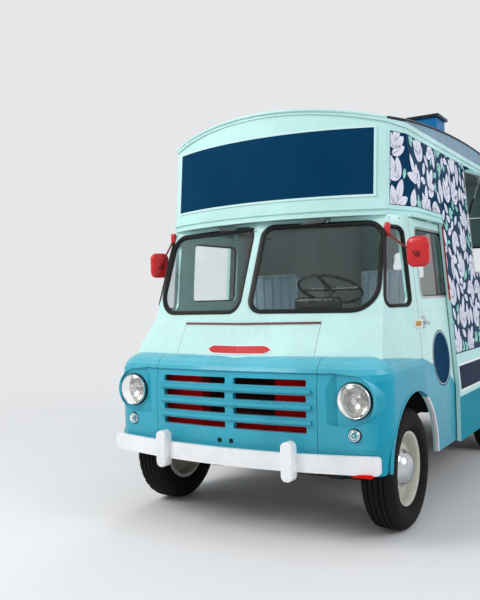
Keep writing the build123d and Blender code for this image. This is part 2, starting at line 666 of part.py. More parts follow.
def make_door():
    """Sliding door for the +X side, with the rear half of the wheel arch in it."""
    door = side_slab(DOOR_RECESS, DOOR_THICK, DOOR_FRONT_Y + DOOR_GAP, DOOR_REAR_Y,
                     SILL_Z + 8, DOOR_TOP_Z)
    x0, x1 = BODY_HALF_WIDTH - 300, BODY_HALF_WIDTH + 100
    door = door - rod_x(x0, x1, FRONT_AXLE_Y, ARCH_Z, ARCH_RADIUS)
    y0, y1, z0, z1 = DOOR_WINDOW
    window = rounded_prism_x([(y0, z0), (y1, z0), (y1, z1), (y0, z1)], 45.0, x0, x1)
    hanger_x = side_x(DOOR_TOP_Z) - DOOR_RECESS - DOOR_THICK
    glass = side_slab(DOOR_RECESS + 11, 6, y0 - 5, y1 + 5, z0 - 5, z1 + 5) & window
    door = door - window
    for y in (DOOR_FRONT_Y + 120, DOOR_REAR_Y - 120):
        hanger = block(hanger_x - 8, hanger_x + 1, y - 30, y + 30, DOOR_TOP_Z - 40, TRACK_TOP_Z + 26)
        lip = block(hanger_x - 8, hanger_x + 20, y - 30, y + 30, TRACK_TOP_Z + SEAT_GAP,
                    TRACK_TOP_Z + 26)
        door = door + hanger + lip
    return door + door_handle(), glass


def door_handle():
    """Pull handle near the door's front edge."""
    x = side_x(HANDLE_Z) - DOOR_RECESS
    y0, y1 = HANDLE_Y
    grip = rod_y(x + 24, y0, y1, HANDLE_Z, 7)
    stem = rod_x(x - 8, x + 24, y0 + 12, HANDLE_Z, 8)
    rose = rod_x(x - 8, x + 5, y0 + 12, HANDLE_Z, 17)
    return grip + stem + rose


TRACK_TOP_Z = CAB_TOP_Z + 40


def make_door_tracks():
    """Rails inside the body sides that carry the sliding doors."""
    x1 = side_x(TRACK_TOP_Z) - WALL
    x0 = side_x(DOOR_TOP_Z) - DOOR_RECESS - DOOR_THICK + 4
    rail = block(x0, x1 + 10, DOOR_FRONT_Y + 15, DOOR_REAR_Y + SLIDE_TRAVEL, TRACK_TOP_Z - 14,
                 TRACK_TOP_Z)
    rail = rail & body_core(WALL, -2000, 1000, CAB_TOP_Z - 10, CAB_TOP_Z + 200)
    return both(rail & header_plan(WALL, CAB_TOP_Z - 10, CAB_TOP_Z + 200))


def make_rear_frame():
    wall = body_core(0, REAR_Y - REAR_WALL, REAR_Y, SILL_Z, EAVE_Z + CROWN_RISE + 60)
    wall = wall - UNDER_ROOF_CUT
    wall = wall - block(-REAR_DOOR_HALF, REAR_DOOR_HALF, REAR_Y - 60, REAR_Y + 10,
                        REAR_DOOR_Z[0], REAR_DOOR_Z[1])
    for x, half in ((RAIL_X, IRON_HALF + 6), (-RAIL_X, IRON_HALF + 6), (PIPE_X, PIPE_RADIUS + 14)):
        wall = wall - block(x - half, x + half, REAR_Y - 60, REAR_Y + 10, 0, IRON_Z[1] + 6)
    for z in REAR_HINGE_Z:
        for end in (-1, 1):
            z0 = z + end * (HINGE_BARREL / 2 + SEAT_GAP)
            z1 = z0 + end * HINGE_LUG
            lo, hi = min(z0, z1), max(z0, z1)
            lug = rod_z(REAR_DOOR_HALF, REAR_HINGE_Y, lo, hi, HINGE_RADIUS)
            lug = lug + block(REAR_DOOR_HALF, REAR_DOOR_HALF + 16, REAR_Y - 5, REAR_HINGE_Y, lo, hi)
            wall = wall + both(lug)
        pin = rod_z(REAR_DOOR_HALF, REAR_HINGE_Y, z - HINGE_BARREL / 2 - 1,
                    z + HINGE_BARREL / 2 + 1, HINGE_PIN_RADIUS)
        wall = wall + both(pin)
    return wall


REAR_DOOR_HALF = 600.0
REAR_DOOR_Z = (625.0, 1985.0)
REAR_DOOR_THICK = 30.0
REAR_HINGE_Y = REAR_Y + HINGE_RADIUS + 1
REAR_HINGE_Z = (805.0, 1305.0, 1805.0)
REAR_WINDOW = (130.0, 490.0, 1255.0, 1705.0)
REAR_HANDLE = (62.0, 1120.0)


def make_rear_door():
    """Rear door leaf on the +X side with its window."""
    y1 = REAR_Y - 2
    leaf = block(DOOR_GAP / 2, REAR_DOOR_HALF - DOOR_GAP, y1 - REAR_DOOR_THICK, y1,
                 REAR_DOOR_Z[0] + DOOR_GAP, REAR_DOOR_Z[1] - DOOR_GAP)
    x0, x1, z0, z1 = REAR_WINDOW
    window = rounded_prism_y([(x0, z0), (x1, z0), (x1, z1), (x0, z1)], 60.0, REAR_Y - 60,
                             REAR_Y + 10)
    glass = block(x0 - 5, x1 + 5, y1 - 18, y1 - 12, z0 - 5, z1 + 5) & window
    leaf = leaf - window
    for z in REAR_HINGE_Z:
        z0, z1 = z - HINGE_BARREL / 2, z + HINGE_BARREL / 2
        strap = block(REAR_DOOR_HALF - 60, REAR_DOOR_HALF, y1, REAR_HINGE_Y + 4, z0, z1)
        barrel = rod_z(REAR_DOOR_HALF, REAR_HINGE_Y, z0, z1, HINGE_RADIUS)
        bore = rod_z(REAR_DOOR_HALF, REAR_HINGE_Y, z0 - 1, z1 + 1, HINGE_PIN_RADIUS + RUN_FIT)
        leaf = leaf + strap + barrel - bore
    hx, hz = REAR_HANDLE
    stem = rod_y(hx, y1 - 2, y1 + 34, hz, 8)
    lever = rod_z(hx, y1 + 34, hz - 12, hz + 88, 7)
    return leaf + stem + lever, glass


# Wheels, axles and running gear

def tyre_section():
    """Half of the tyre's section: radius and distance from its middle plane."""
    half = TYRE_WIDTH / 2
    return [
        (RIM_RADIUS - 6, RIM_WIDTH / 2 - 12),
        (RIM_RADIUS + 8, RIM_WIDTH / 2 - 8),
        (RIM_RADIUS + 28, half - 10),
        (RIM_RADIUS + 66, half),
        (TYRE_RADIUS - 22, half - 10),
        (TYRE_RADIUS - 5, half - 26),
        (TYRE_RADIUS, half - 44),
    ]


def revolve_x(points):
    """Outline of radius and x offset, turned about the X axis through the origin."""
    face = make_face(Polyline(*[(x, 0, r) for r, x in points], close=True))
    return revolve(face, axis=Axis.X, revolution_arc=360)


def make_tyre():
    half = tyre_section()
    outline = half + [(r, -x) for r, x in reversed(half)]
    return revolve_x(outline)


def placed(shape, side, y):
    """Wheel part put at its hub, its outer side away from the centre plane."""
    shape = shape if side > 0 else flip(shape)
    return Pos(side * WHEEL_X, y, TYRE_RADIUS) * shape


def make_wheel():
    """Rim barrel with flanges, dish and hub cap, as one turned piece."""
    half = RIM_WIDTH / 2
    seat = RIM_RADIUS - 6 - SEAT_GAP
    outline = [
        (seat - 12, -half), (RIM_RADIUS + 4, -half), (RIM_RADIUS + 4, -half + 5),
        (seat, -half + 9), (seat, half - 9), (RIM_RADIUS + 4, half - 5), (RIM_RADIUS + 4, half),
        (seat - 12, half), (seat - 16, 12), (150, 6), (128, 30), (100, 34), (94, 52), (78, 74),
        (50, 88), (0, 94), (0, 60), (SPINDLE_RADIUS + RUN_FIT, 60),
        (SPINDLE_RADIUS + RUN_FIT, -26), (64, -26), (64, 18), (122, 14), (146, -8),
        (seat - 16, -4),
    ]
    return revolve_x(outline)


ARM_OFFSET = 27.0
ARM_LENGTH = 118.0
ARM_Z = TYRE_RADIUS - 40.0
TRACK_ROD_RADIUS = 9.0
TRACK_ROD_EYE = 14.0


def make_track_rod():
    """Rod that joins the two steering arms, an eye under each arm's end."""
    x, y = KINGPIN_X - ARM_OFFSET, FRONT_AXLE_Y + ARM_LENGTH
    top, mid = ARM_Z - SEAT_GAP, ARM_Z - SEAT_GAP - TRACK_ROD_RADIUS - 3
    rod = rod_x(-x, x, y, mid, TRACK_ROD_RADIUS)
    return rod + both(rod_z(x, y, 2 * mid - top, top, TRACK_ROD_EYE))


def make_knuckle():
    """Steering knuckle on the +X side: kingpin barrel, spindle and steering arm."""
    z = TYRE_RADIUS
    barrel = rod_z(KINGPIN_X, FRONT_AXLE_Y, z - 50, z + 50, 26)
    spindle = rod_x(KINGPIN_X + 20, WHEEL_X + 58, FRONT_AXLE_Y, z, SPINDLE_RADIUS)
    shoulder = rod_x(KINGPIN_X + 20, WHEEL_X - 26 - SEAT_GAP, FRONT_AXLE_Y, z, 38)
    arm = block(KINGPIN_X - ARM_OFFSET - 13, KINGPIN_X - ARM_OFFSET + 13, FRONT_AXLE_Y + 10,
                FRONT_AXLE_Y + ARM_LENGTH + 14, ARM_Z, ARM_Z + 20)
    cutter = rod_z(KINGPIN_X, FRONT_AXLE_Y, z - 60, z + 60, KINGPIN_RADIUS + RUN_FIT)
    return barrel + spindle + shoulder + arm - cutter


def make_front_axle():
    z = TYRE_RADIUS
    beam = block(-KINGPIN_X - 26, KINGPIN_X + 26, FRONT_AXLE_Y - 26, FRONT_AXLE_Y + 26,
                 z - 90, z - 50 - SEAT_GAP)
    pads = block(RAIL_X - 40, RAIL_X + 40, FRONT_AXLE_Y - 50, FRONT_AXLE_Y + 50, z - 90, z - 30)
    cap = rod_z(KINGPIN_X, FRONT_AXLE_Y, z + 50 + SEAT_GAP, z + 62, 18)
    pin = rod_z(KINGPIN_X, FRONT_AXLE_Y, z - 60, z + 56, KINGPIN_RADIUS)
    return beam + both(pads) + both(pin + cap)


def make_rear_axle():
    y, z = REAR_AXLE_Y, TYRE_RADIUS
    tube = rod_x(-(WHEEL_X - 26 - SEAT_GAP), WHEEL_X - 26 - SEAT_GAP, y, z, 38)
    stub = rod_x(-(WHEEL_X + 58), WHEEL_X + 58, y, z, SPINDLE_RADIUS)
    casing = rod_y(60, y - 95, y + 95, z, 112)
    pads = block(RAIL_X - 40, RAIL_X + 40, y - 50, y + 50, z - 30, z + REAR_PAD_LIFT)
    return tube + stub + casing + both(pads)


FRONT_SPRING_HALF = 330.0
REAR_SPRING_HALF = 470.0
SPRING_THICK = 34.0
SPRING_CAMBER = 34.0
SPRING_WIDTH = 56.0
REAR_PAD_LIFT = 40.0


def leaf_spring(y, seat_z, half):
    """Arched leaf pack resting on an axle pad, with hangers up to the frame rail."""
    x0, x1 = RAIL_X - SPRING_WIDTH / 2, RAIL_X + SPRING_WIDTH / 2
    end_z = seat_z + SPRING_CAMBER
    low = ThreePointArc((x0, y - half, end_z), (x0, y, seat_z), (x0, y + half, end_z))
    high = ThreePointArc((x0, y + half, end_z + 14), (x0, y, seat_z + SPRING_THICK),
                         (x0, y - half, end_z + 14))
    ends = [Line(low @ 1, high @ 0), Line(high @ 1, low @ 0)]
    pack = extrude(make_face([low, ends[0], high, ends[1]]), amount=x1 - x0, dir=(1, 0, 0))
    for end in (-1, 1):
        yc = y + end * (half - 4)
        pack = pack + block(x0, x1, yc - 20, yc + 20, end_z - 8, RAIL_BOTTOM_Z)
    return pack


def make_springs():
    front = leaf_spring(FRONT_AXLE_Y, TYRE_RADIUS - 30, FRONT_SPRING_HALF)
    rear = leaf_spring(REAR_AXLE_Y, TYRE_RADIUS + REAR_PAD_LIFT, REAR_SPRING_HALF)
    return both(front) + both(rear)


CROSS_MEMBERS = (-1800.0, -1080.0, -420.0, 260.0, 1240.0, 1800.0)


def make_chassis():
    """Ladder frame with a jacking pad under each rail, front and rear."""
    rail = block(RAIL_X - RAIL_WIDTH / 2, RAIL_X + RAIL_WIDTH / 2, RAIL_FRONT_Y, RAIL_REAR_Y,
                 RAIL_BOTTOM_Z, RAIL_TOP_Z)
    width, length, depth = JACK_PAD
    for y in JACK_PAD_Y:
        rail = rail + block(RAIL_X - width / 2, RAIL_X + width / 2, y - length / 2, y + length / 2,
                            RAIL_BOTTOM_Z - depth, RAIL_BOTTOM_Z)
    frame = both(rail)
    for y in CROSS_MEMBERS:
        frame = frame + block(-RAIL_X, RAIL_X, y - 30, y + 30, RAIL_BOTTOM_Z, RAIL_TOP_Z - 40)
    return frame


def nose_or_behind(z0, z1):
    """Space inside the nose and all space behind it."""
    return nose_prism(NOSE_WALL, z0, z1) + block(-BODY_HALF_WIDTH, BODY_HALF_WIDTH, DOOR_FRONT_Y - 1,
                                                 REAR_Y, z0, z1)


# Wheel housings: axle y, then inner and outer x of the opening over the tyre
HOUSINGS = (
    (FRONT_AXLE_Y, WHEEL_X - 265, CAB_FLOOR_HALF_WIDTH),
    (REAR_AXLE_Y, WHEEL_X - 135, BODY_HALF_WIDTH - WALL),
)
HOUSING_HALF = ARCH_RADIUS + 10
HOUSING_TOP_Z = ARCH_Z + ARCH_RADIUS + 12
HOUSING_WALL = 16.0


def housing_block(y, x0, x1, grow, z0):
    half = HOUSING_HALF + grow
    return block(x0 - grow, x1, y - half, y + half, z0, HOUSING_TOP_Z + grow)


def make_floor():
    """Flat floor of the cab and the load space, cut out for the wheels and the engine."""
    z0, z1 = RAIL_TOP_Z, FLOOR_TOP_Z
    rear_y = REAR_Y - REAR_WALL
    step_y = SIDE_FRONT_Y + DOOR_THICK + SLIDE_TRAVEL + 180
    cab = block(-CAB_FLOOR_HALF_WIDTH, CAB_FLOOR_HALF_WIDTH, RAIL_FRONT_Y, DOOR_FRONT_Y, z0, z1)
    cab = cab & nose_prism(NOSE_WALL, z0, z1)
    mid = block(-CAB_FLOOR_HALF_WIDTH, CAB_FLOOR_HALF_WIDTH, DOOR_FRONT_Y, step_y, z0, z1)
    inner = BODY_HALF_WIDTH - WALL
    plate = cab + mid + block(-inner, inner, step_y, rear_y, z0, z1)
    for y, x0, x1 in HOUSINGS:
        plate = plate - both(housing_block(y, x0, x1 + 40, HOUSING_WALL, z0 - 10))
    return plate - block(-ENGINE_HALF - 20, ENGINE_HALF + 20, ENGINE_Y[0] - 20, ENGINE_Y[1] + 20,
                         z0 - 10, z1 + 10)


def make_wheel_housings():
    """Box over each wheel, open below and to the side."""
    z0 = RAIL_TOP_Z
    housings = None
    for y, x0, x1 in HOUSINGS:
        shell = housing_block(y, x0, x1, HOUSING_WALL, z0)
        shell = shell & body_core(WALL, -REACH, REAR_Y, z0, HOUSING_TOP_Z + HOUSING_WALL)
        shell = shell & nose_or_behind(z0, HOUSING_TOP_Z + HOUSING_WALL)
        shell = shell - housing_block(y, x0, x1 + 40, 0, z0 - 10)
        housings = both(shell) if housings is None else housings + both(shell)
    return housings


ENGINE_HALF = 210.0
ENGINE_Y = (-1400.0, -760.0)
ENGINE_Z = (RAIL_BOTTOM_Z + 80, 985.0)


def make_engine():
    return block(-ENGINE_HALF, ENGINE_HALF, ENGINE_Y[0], ENGINE_Y[1], ENGINE_Z[0], ENGINE_Z[1])


RADIATOR_HALF = 300.0
RADIATOR_THICK = 60.0
RADIATOR_HEIGHT = 290.0


def make_radiator():
    y = RAIL_FRONT_Y + 20
    return block(-RADIATOR_HALF, RADIATOR_HALF, y, y + RADIATOR_THICK, FLOOR_TOP_Z,
                 FLOOR_TOP_Z + RADIATOR_HEIGHT)


BUMPER_END = (BODY_HALF_WIDTH - 57, -2020.0)
BUMPER_CENTRE_Y = -2142.0
BUMPER_Z = (393.0, 483.0)
BUMPER_THICK = 26.0
GUARD = (390.0, -2160.0, 64.0, 199.0)
GUARD_Z = 446.0
IRON_HALF = 26.0
IRON_Z = (419.0, 461.0)


def bumper_lines(offset, z):
    x, y = BUMPER_END
    return ThreePointArc((-x, y + offset, z), (0, BUMPER_CENTRE_Y + offset, z), (x, y + offset, z))


def make_bumper_front():
    """Bowed bar with rounded ends, two upright guards and its irons."""
    z0, z1 = BUMPER_Z
    outer, inner = bumper_lines(0, z0), bumper_lines(BUMPER_THICK, z0)
    ends = [Line(outer @ 1, inner @ 1), Line(inner @ 0, outer @ 0)]
    bar = extrude(make_face([outer, ends[0], inner, ends[1]]), amount=z1 - z0, dir=(0, 0, 1))
    tips = bar.edges().filter_by(lambda e: abs(abs(e.center().X) - BUMPER_END[0]) < 1 and
                                 abs(e.center().Z - (z0 + z1) / 2) > 1)
    bar = fillet(tips, 18)
    gx, gy, width, height = GUARD
    left, right = gx - width / 2, gx + width / 2
    low, high = GUARD_Z - height / 2, GUARD_Z + height / 2
    guard = rounded_prism_y([(left, low), (right, low), (right, high), (left, high)],
                            width * 0.45, gy, gy + 60)
    rim = guard.edges().filter_by(lambda e: abs(e.center().Y - gy) < 1)
    guard = fillet(rim, 9)
    iron = block(RAIL_X - IRON_HALF, RAIL_X + IRON_HALF, gy + 50, RAIL_FRONT_Y, *IRON_Z)
    return bar + both(guard) + both(iron)


def make_bumper_rear():
    bar = block(100 - BODY_HALF_WIDTH, BODY_HALF_WIDTH - 100, REAR_Y + 50, REAR_Y + 90, *BUMPER_Z)
    bar = fillet(bar.edges().filter_by(Axis.Y), 18)
    iron = block(RAIL_X - IRON_HALF, RAIL_X + IRON_HALF, RAIL_REAR_Y, REAR_Y + 60, *IRON_Z)
    return bar + both(iron)


TAIL_LAMP_Z = (725.0, 825.0)
TAIL_LAMP_RADIUS = 40.0


def make_tail_lamps():
    lamps = None
    x = BODY_HALF_WIDTH - 145
    for z in TAIL_LAMP_Z:
        lamp = rod_y(x, REAR_Y, REAR_Y + 30, z, TAIL_LAMP_RADIUS)
        lamps = lamp if lamps is None else lamps + lamp
    return both(lamps)


# Mirrors: head centre, turn about Z, side and the height of the arm's foot on the pillar
MIRRORS = (
    ((BODY_HALF_WIDTH + 40, -1650.0, 1485.0), 0.0, 1, 1592.0),
    ((-BODY_HALF_WIDTH + 67, -1567.0, 1494.0), 52.0, -1, 1630.0),
)
MIRROR_SIZE = (118.0, 30.0, 160.0)


def pillar_at(z):
    """Corner pillar's x and y at a height above the belt."""
    (z0, _, inset0, y0), (z1, _, inset1, y1) = CAB_SECTIONS[1:]
    share = (z - z0) / (z1 - z0)
    return BODY_HALF_WIDTH - inset0 - share * (inset1 - inset0), y0 + share * (y1 - y0)


def make_mirrors():
    """Round-cornered heads on thin arms from plates on the front pillars."""
    mirrors = None
    for (x, y, z), turn, side, foot_z in MIRRORS:
        px, py = pillar_at(foot_z + 28)
        foot = (side * (px + 9), py - 6, foot_z)
        head = Box(*MIRROR_SIZE)
        head = fillet(head.edges().filter_by(Axis.Y), 36)
        head = fillet(head.edges().filter_by(lambda e: e.center().Y < -1), 12)
        head = Pos(x, y, z) * Rot(0, 0, turn) * head
        path = Line(foot, (x, y, z + 10))
        arm = sweep(Plane(origin=path @ 0, z_dir=path % 0) * Circle(6), path=path)
        plate = Pos(foot[0], foot[1], foot[2] + 28) * Box(30, 24, 70)
        mirror_piece = head + arm + plate
        mirrors = mirror_piece if mirrors is None else mirrors + mirror_piece
    return mirrors - cab_loft(0)


VENT = (300.0, 510.0, 200.0, 420.0)
VENT_TOP_Z = 2615.0
VENT_LID = 22.0


def make_roof_vent():
    x0, x1, y0, y1 = VENT
    box = block(x0, x1, y0, y1, EAVE_Z, VENT_TOP_Z)
    lid = block(x0 - 20, x1 + 20, y0 - 20, y1 + 20, VENT_TOP_Z, VENT_TOP_Z + VENT_LID)
    return (box - ROOF_DOME) + lid


SEAT_X = 430.0
SEAT_HALF = 205.0
SEAT_Y = (-1110.0, -650.0)
CUSHION_Z = (FLOOR_TOP_Z + 210, FLOOR_TOP_Z + 330)
BACK_THICK = 100.0
BACK_HEIGHT = 520.0


def make_seats():
    """Two cab seats: a box base, a cushion and a backrest each."""
    y0, y1 = SEAT_Y
    z0, z1 = CUSHION_Z
    base = block(SEAT_X - SEAT_HALF + 10, SEAT_X + SEAT_HALF - 10, y0 + 10, y1 - 10, FLOOR_TOP_Z, z0)
    cushion = block(SEAT_X - SEAT_HALF, SEAT_X + SEAT_HALF, y0, y1, z0, z1)
    cushion = fillet(cushion.edges(), 24)
    back = block(SEAT_X - SEAT_HALF, SEAT_X + SEAT_HALF, y1 - BACK_THICK, y1, z0 + 60,
                 z1 + BACK_HEIGHT)
    back = fillet(back.edges(), 24)
    return both(base + cushion + back)


DASH_REAR_Y = -1560.0
DASH_HEIGHT = 70.0


def make_dashboard():
    """Shelf under the windscreen, clear of the steering column."""
    z1 = CAB_SECTIONS[1][0]
    panel = block(-BODY_HALF_WIDTH, BODY_HALF_WIDTH, -REACH, DASH_REAR_Y, z1 - DASH_HEIGHT, z1)
    panel = panel & cab_loft(CAB_WALL)
    return panel - steering_tube(STEER_TUBE + 4)


STEER_CENTRE = (335.0, -1450.0, 1305.0)
STEER_TILT = 25.0
STEER_RADIUS = 195.0
STEER_TUBE = 20.0


def make_steering_wheel():
    ring = Torus(STEER_RADIUS - 9, 9)
    hub = Cylinder(34, 30)
    spokes = Box(2 * STEER_RADIUS - 18, 22, 8)
    spokes = spokes + Pos(0, -STEER_RADIUS / 2, 0) * Box(22, STEER_RADIUS - 16, 8)
    return Pos(*STEER_CENTRE) * Rot(-STEER_TILT, 0, 0) * (ring + hub + spokes)


def steering_tube(radius):
    """Tube along the steering axis from under the hand wheel down to the floor."""
    place = Pos(*STEER_CENTRE) * Rot(-STEER_TILT, 0, 0)
    length = (STEER_CENTRE[2] - FLOOR_TOP_Z) / cos(radians(STEER_TILT))
    tube = place * (Pos(0, 0, -15 - SEAT_GAP - length / 2) * Cylinder(radius, length))
    return tube - block(-REACH, REACH, -REACH, REACH, 0, FLOOR_TOP_Z)


def make_steering_column():
    return steering_tube(STEER_TUBE)


COUNTER_TOP_Z = HATCH_SILL_Z - 30
COUNTER_THICK = 40.0
COUNTER_FRONT_X = 400.0
COUNTER_REAR_Y = HATCH_REAR_Y + 300
COUNTER_PANEL = 24.0


def make_counter():
    """Serving counter inside the hatch on three upright panels, open to the aisle."""
    x1 = side_x(HATCH_SILL_Z) - WALL
    z0, z1 = FLOOR_TOP_Z, COUNTER_TOP_Z - COUNTER_THICK
    top = block(COUNTER_FRONT_X, x1, HATCH_FRONT_Y, COUNTER_REAR_Y, z1, COUNTER_TOP_Z)
    legs = None
    for y in (HATCH_FRONT_Y, HATCH_REAR_Y - 730, COUNTER_REAR_Y - COUNTER_PANEL):
        leg = block(420, 560, y, y + COUNTER_PANEL, z0, z1)
        legs = leg if legs is None else legs + leg
    return top + legs


PIPE_X = 250.0
PIPE_Z = RAIL_BOTTOM_Z - 26
PIPE_RADIUS = 20.0
SILENCER_Y = (-340.0, 180.0)
SILENCER_RADIUS = 68.0


def make_exhaust():
    pipe = rod_y(PIPE_X, -700, REAR_Y + 30, PIPE_Z, PIPE_RADIUS)
    silencer = rod_y(PIPE_X, SILENCER_Y[0], SILENCER_Y[1], PIPE_Z, SILENCER_RADIUS)
    straps = None
    for y in CROSS_MEMBERS[2:]:
        strap = block(PIPE_X - 14, PIPE_X + 14, y - 14, y + 14, PIPE_Z, RAIL_BOTTOM_Z)
        straps = strap if straps is None else straps + strap
    return pipe + silencer + straps


TANK_X = (-740.0, -460.0)
TANK_Y = (-350.0, 200.0)


def make_fuel_tank():
    return block(*TANK_X, *TANK_Y, RAIL_BOTTOM_Z - 100, RAIL_TOP_Z)


nose_solid = nose_block(0, FENDER_BOTTOM_Z)
nose_shell = make_nose_shell(nose_solid)
fender = make_fender(nose_shell)
door, door_glass = make_door()
rear_door, rear_glass = make_rear_door()
strut_tubes, strut_rods = make_strut_pieces()
knuckle = make_knuckle()

parts["chassis"] = make_chassis()
parts["floor"] = make_floor()
parts["wheel_housings"] = make_wheel_housings()
parts["nose_panel"] = make_nose_panel(nose_shell)
parts["fender_left"] = fender
parts["fender_right"] = flip(fender)
parts["cab_front"] = make_cab_front(nose_solid)
parts["cab_glass"] = make_cab_glass()
parts["header"] = make_header()
parts["roof"] = make_roof()
parts["side_left"] = make_side(True)
parts["side_right"] = flip(make_side(False))
parts["rear_frame"] = make_rear_frame()
parts["rear_door_left"] = rear_door
parts["rear_door_right"] = flip(rear_door)
parts["rear_glass_left"] = rear_glass
parts["rear_glass_right"] = flip(rear_glass)
parts["door_left"] = door
parts["door_right"] = flip(door)
parts["door_glass_left"] = door_glass
parts["door_glass_right"] = flip(door_glass)
parts["door_tracks"] = make_door_tracks()
parts["hatch"] = make_hatch()
parts["strut_tubes"] = strut_tubes
parts["strut_rods"] = strut_rods
parts["bumper_front"] = make_bumper_front()
parts["bumper_rear"] = make_bumper_rear()
parts["front_lamps"] = make_front_lamps()
parts["tail_lamps"] = make_tail_lamps()
parts["mirrors"] = make_mirrors()
parts["roof_vent"] = make_roof_vent()
parts["engine"] = make_engine()
parts["radiator"] = make_radiator()
parts["exhaust"] = make_exhaust()
parts["fuel_tank"] = make_fuel_tank()
parts["springs"] = make_springs()
parts["front_axle"] = make_front_axle()
parts["rear_axle"] = make_rear_axle()
parts["track_rod"] = make_track_rod()
parts["knuckle_left"] = knuckle
parts["knuckle_right"] = flip(knuckle)
parts["seats"] = make_seats()
parts["dashboard"] = make_dashboard()
parts["steering_column"] = make_steering_column()
parts["steering_wheel"] = make_steering_wheel()
parts["counter"] = make_counter()

tyre, wheel = make_tyre(), make_wheel()
for name, side, y in (
    ("front_left", 1, FRONT_AXLE_Y),
    ("front_right", -1, FRONT_AXLE_Y),
    ("rear_left", 1, REAR_AXLE_Y),
    ("rear_right", -1, REAR_AXLE_Y),
):
    parts["tyre_" + name] = placed(tyre, side, y)
    parts["wheel_" + name] = placed(wheel, side, y)

# The whole outline's middle on the ground becomes the origin
corners = [shape.bounding_box() for shape in parts.values()]
x_mid = (min(b.min.X for b in corners) + max(b.max.X for b in corners)) / 2
y_mid = (min(b.min.Y for b in corners) + max(b.max.Y for b in corners)) / 2
print("shift", x_mid, y_mid, "nodes", len(parts))
for name, shape in parts.items():
    export_step(Pos(-x_mid, -y_mid, 0) * shape, "parts/" + name + ".step")
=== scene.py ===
from math import cos, exp, pi, radians, sin
from random import Random

import bmesh
import bpy
from mathutils import Matrix, Vector
from mathutils.bvhtree import BVHTree


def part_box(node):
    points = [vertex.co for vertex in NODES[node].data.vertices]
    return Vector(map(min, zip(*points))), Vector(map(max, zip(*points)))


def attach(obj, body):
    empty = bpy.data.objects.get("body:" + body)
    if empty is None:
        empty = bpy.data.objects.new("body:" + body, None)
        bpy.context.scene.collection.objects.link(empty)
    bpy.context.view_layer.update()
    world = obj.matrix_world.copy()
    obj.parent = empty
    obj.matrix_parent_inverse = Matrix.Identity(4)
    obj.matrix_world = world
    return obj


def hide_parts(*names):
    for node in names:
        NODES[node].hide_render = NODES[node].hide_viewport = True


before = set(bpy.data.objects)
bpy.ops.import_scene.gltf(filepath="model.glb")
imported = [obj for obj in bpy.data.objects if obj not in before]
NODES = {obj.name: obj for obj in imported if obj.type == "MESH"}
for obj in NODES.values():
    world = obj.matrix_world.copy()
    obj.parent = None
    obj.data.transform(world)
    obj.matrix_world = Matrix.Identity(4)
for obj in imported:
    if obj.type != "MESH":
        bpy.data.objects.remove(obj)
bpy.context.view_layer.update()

# Places are in metres about the vehicle's centre plane, and HOME moves them to where the frame has it

FRONT_AXLE_Y, REAR_AXLE_Y = -1.530, 0.756
rear_low, rear_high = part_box("rear_frame")
tyre_low, tyre_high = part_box("tyre_front_left")
HOME = Vector(((rear_low.x + rear_high.x) / 2, (tyre_low.y + tyre_high.y) / 2 - FRONT_AXLE_Y, 0))

BODY_X, BELT_Z = 0.885, 0.675
EAVE_X, EAVE_Z = 0.762, 2.210
LEAN = (BODY_X - EAVE_X) / (EAVE_Z - BELT_Z)
SKIN, DOOR_IN = 0.012, 0.031
SIDE_FRONT_Y, REAR_Y = -0.750, 1.900
HATCH_Y, HATCH_Z = (-0.050, 1.200), (1.415, 2.155)
CAB_TOP_Z, QUARTER_BEND_Y = 1.705, -1.415
# Height, the centre line's y, and the pillar's x and y
CAB = ((0.955, -1.985, 0.790, -1.850), (1.155, -1.912, 0.748, -1.708), (CAB_TOP_Z, -1.668, 0.712, -1.512))
HEADER_X, HEADER_Y, HEADER_BOW = 0.708, -1.527, 0.185
HEADER_RAKE, HEADER_TAPER = 0.10, 0.287
ROOF_LIFT, ROOF_RISE, ROOF_MIDDLE_Y, ROOF_REACH = 0.110, 0.100, 0.15, 1.65
NOSE_X, NOSE_Y, NOSE_BOW, NOSE_SEAM_X = 0.700, -2.055, 0.051, 0.506
HEADLAMP, SIDE_LAMP = (0.697, -1.992, 0.746), (0.696, -2.002, 0.577)
WHEEL_X, TYRE_R = 0.735, 0.325


# Colours

def lin(red, green, blue):
    """Screen colour as the linear one that shaders take."""
    part = [v / 12.92 if v <= 0.04045 else ((v + 0.055) / 1.055) ** 2.4 for v in (red, green, blue)]
    return (*part, 1.0)


MINT = lin(0.75, 0.905, 0.89)
TEAL = lin(0.03, 0.60, 0.70)
# Painted shade: a darker copy of TEAL for the low band of the load body's sides and rear
SHADED_SIDE_TEAL = lin(0.03, 0.54, 0.62)
# Paler teal for the painted sky sheen on the nose's shoulders and front
SKY_SHEEN_TEAL = lin(0.45, 0.77, 0.83)
NAVY = lin(0.04, 0.22, 0.34)
STRIPE = lin(0.02, 0.13, 0.24)
LILAC = lin(0.88, 0.88, 0.93)
WHITE = lin(0.95, 0.955, 0.96)
ROOF = lin(0.42, 0.55, 0.64)
RED = lin(0.78, 0.07, 0.10)
RUST = lin(0.36, 0.19, 0.11)
DIRT = lin(0.33, 0.30, 0.26)
LINING = lin(0.80, 0.84, 0.83)
# Dark grey-green for the painted shade under the open hatch lid
UNDERSIDE_SHADE = lin(0.26, 0.31, 0.30)
SEAM = lin(0.06, 0.14, 0.17)


# Node networks of the materials

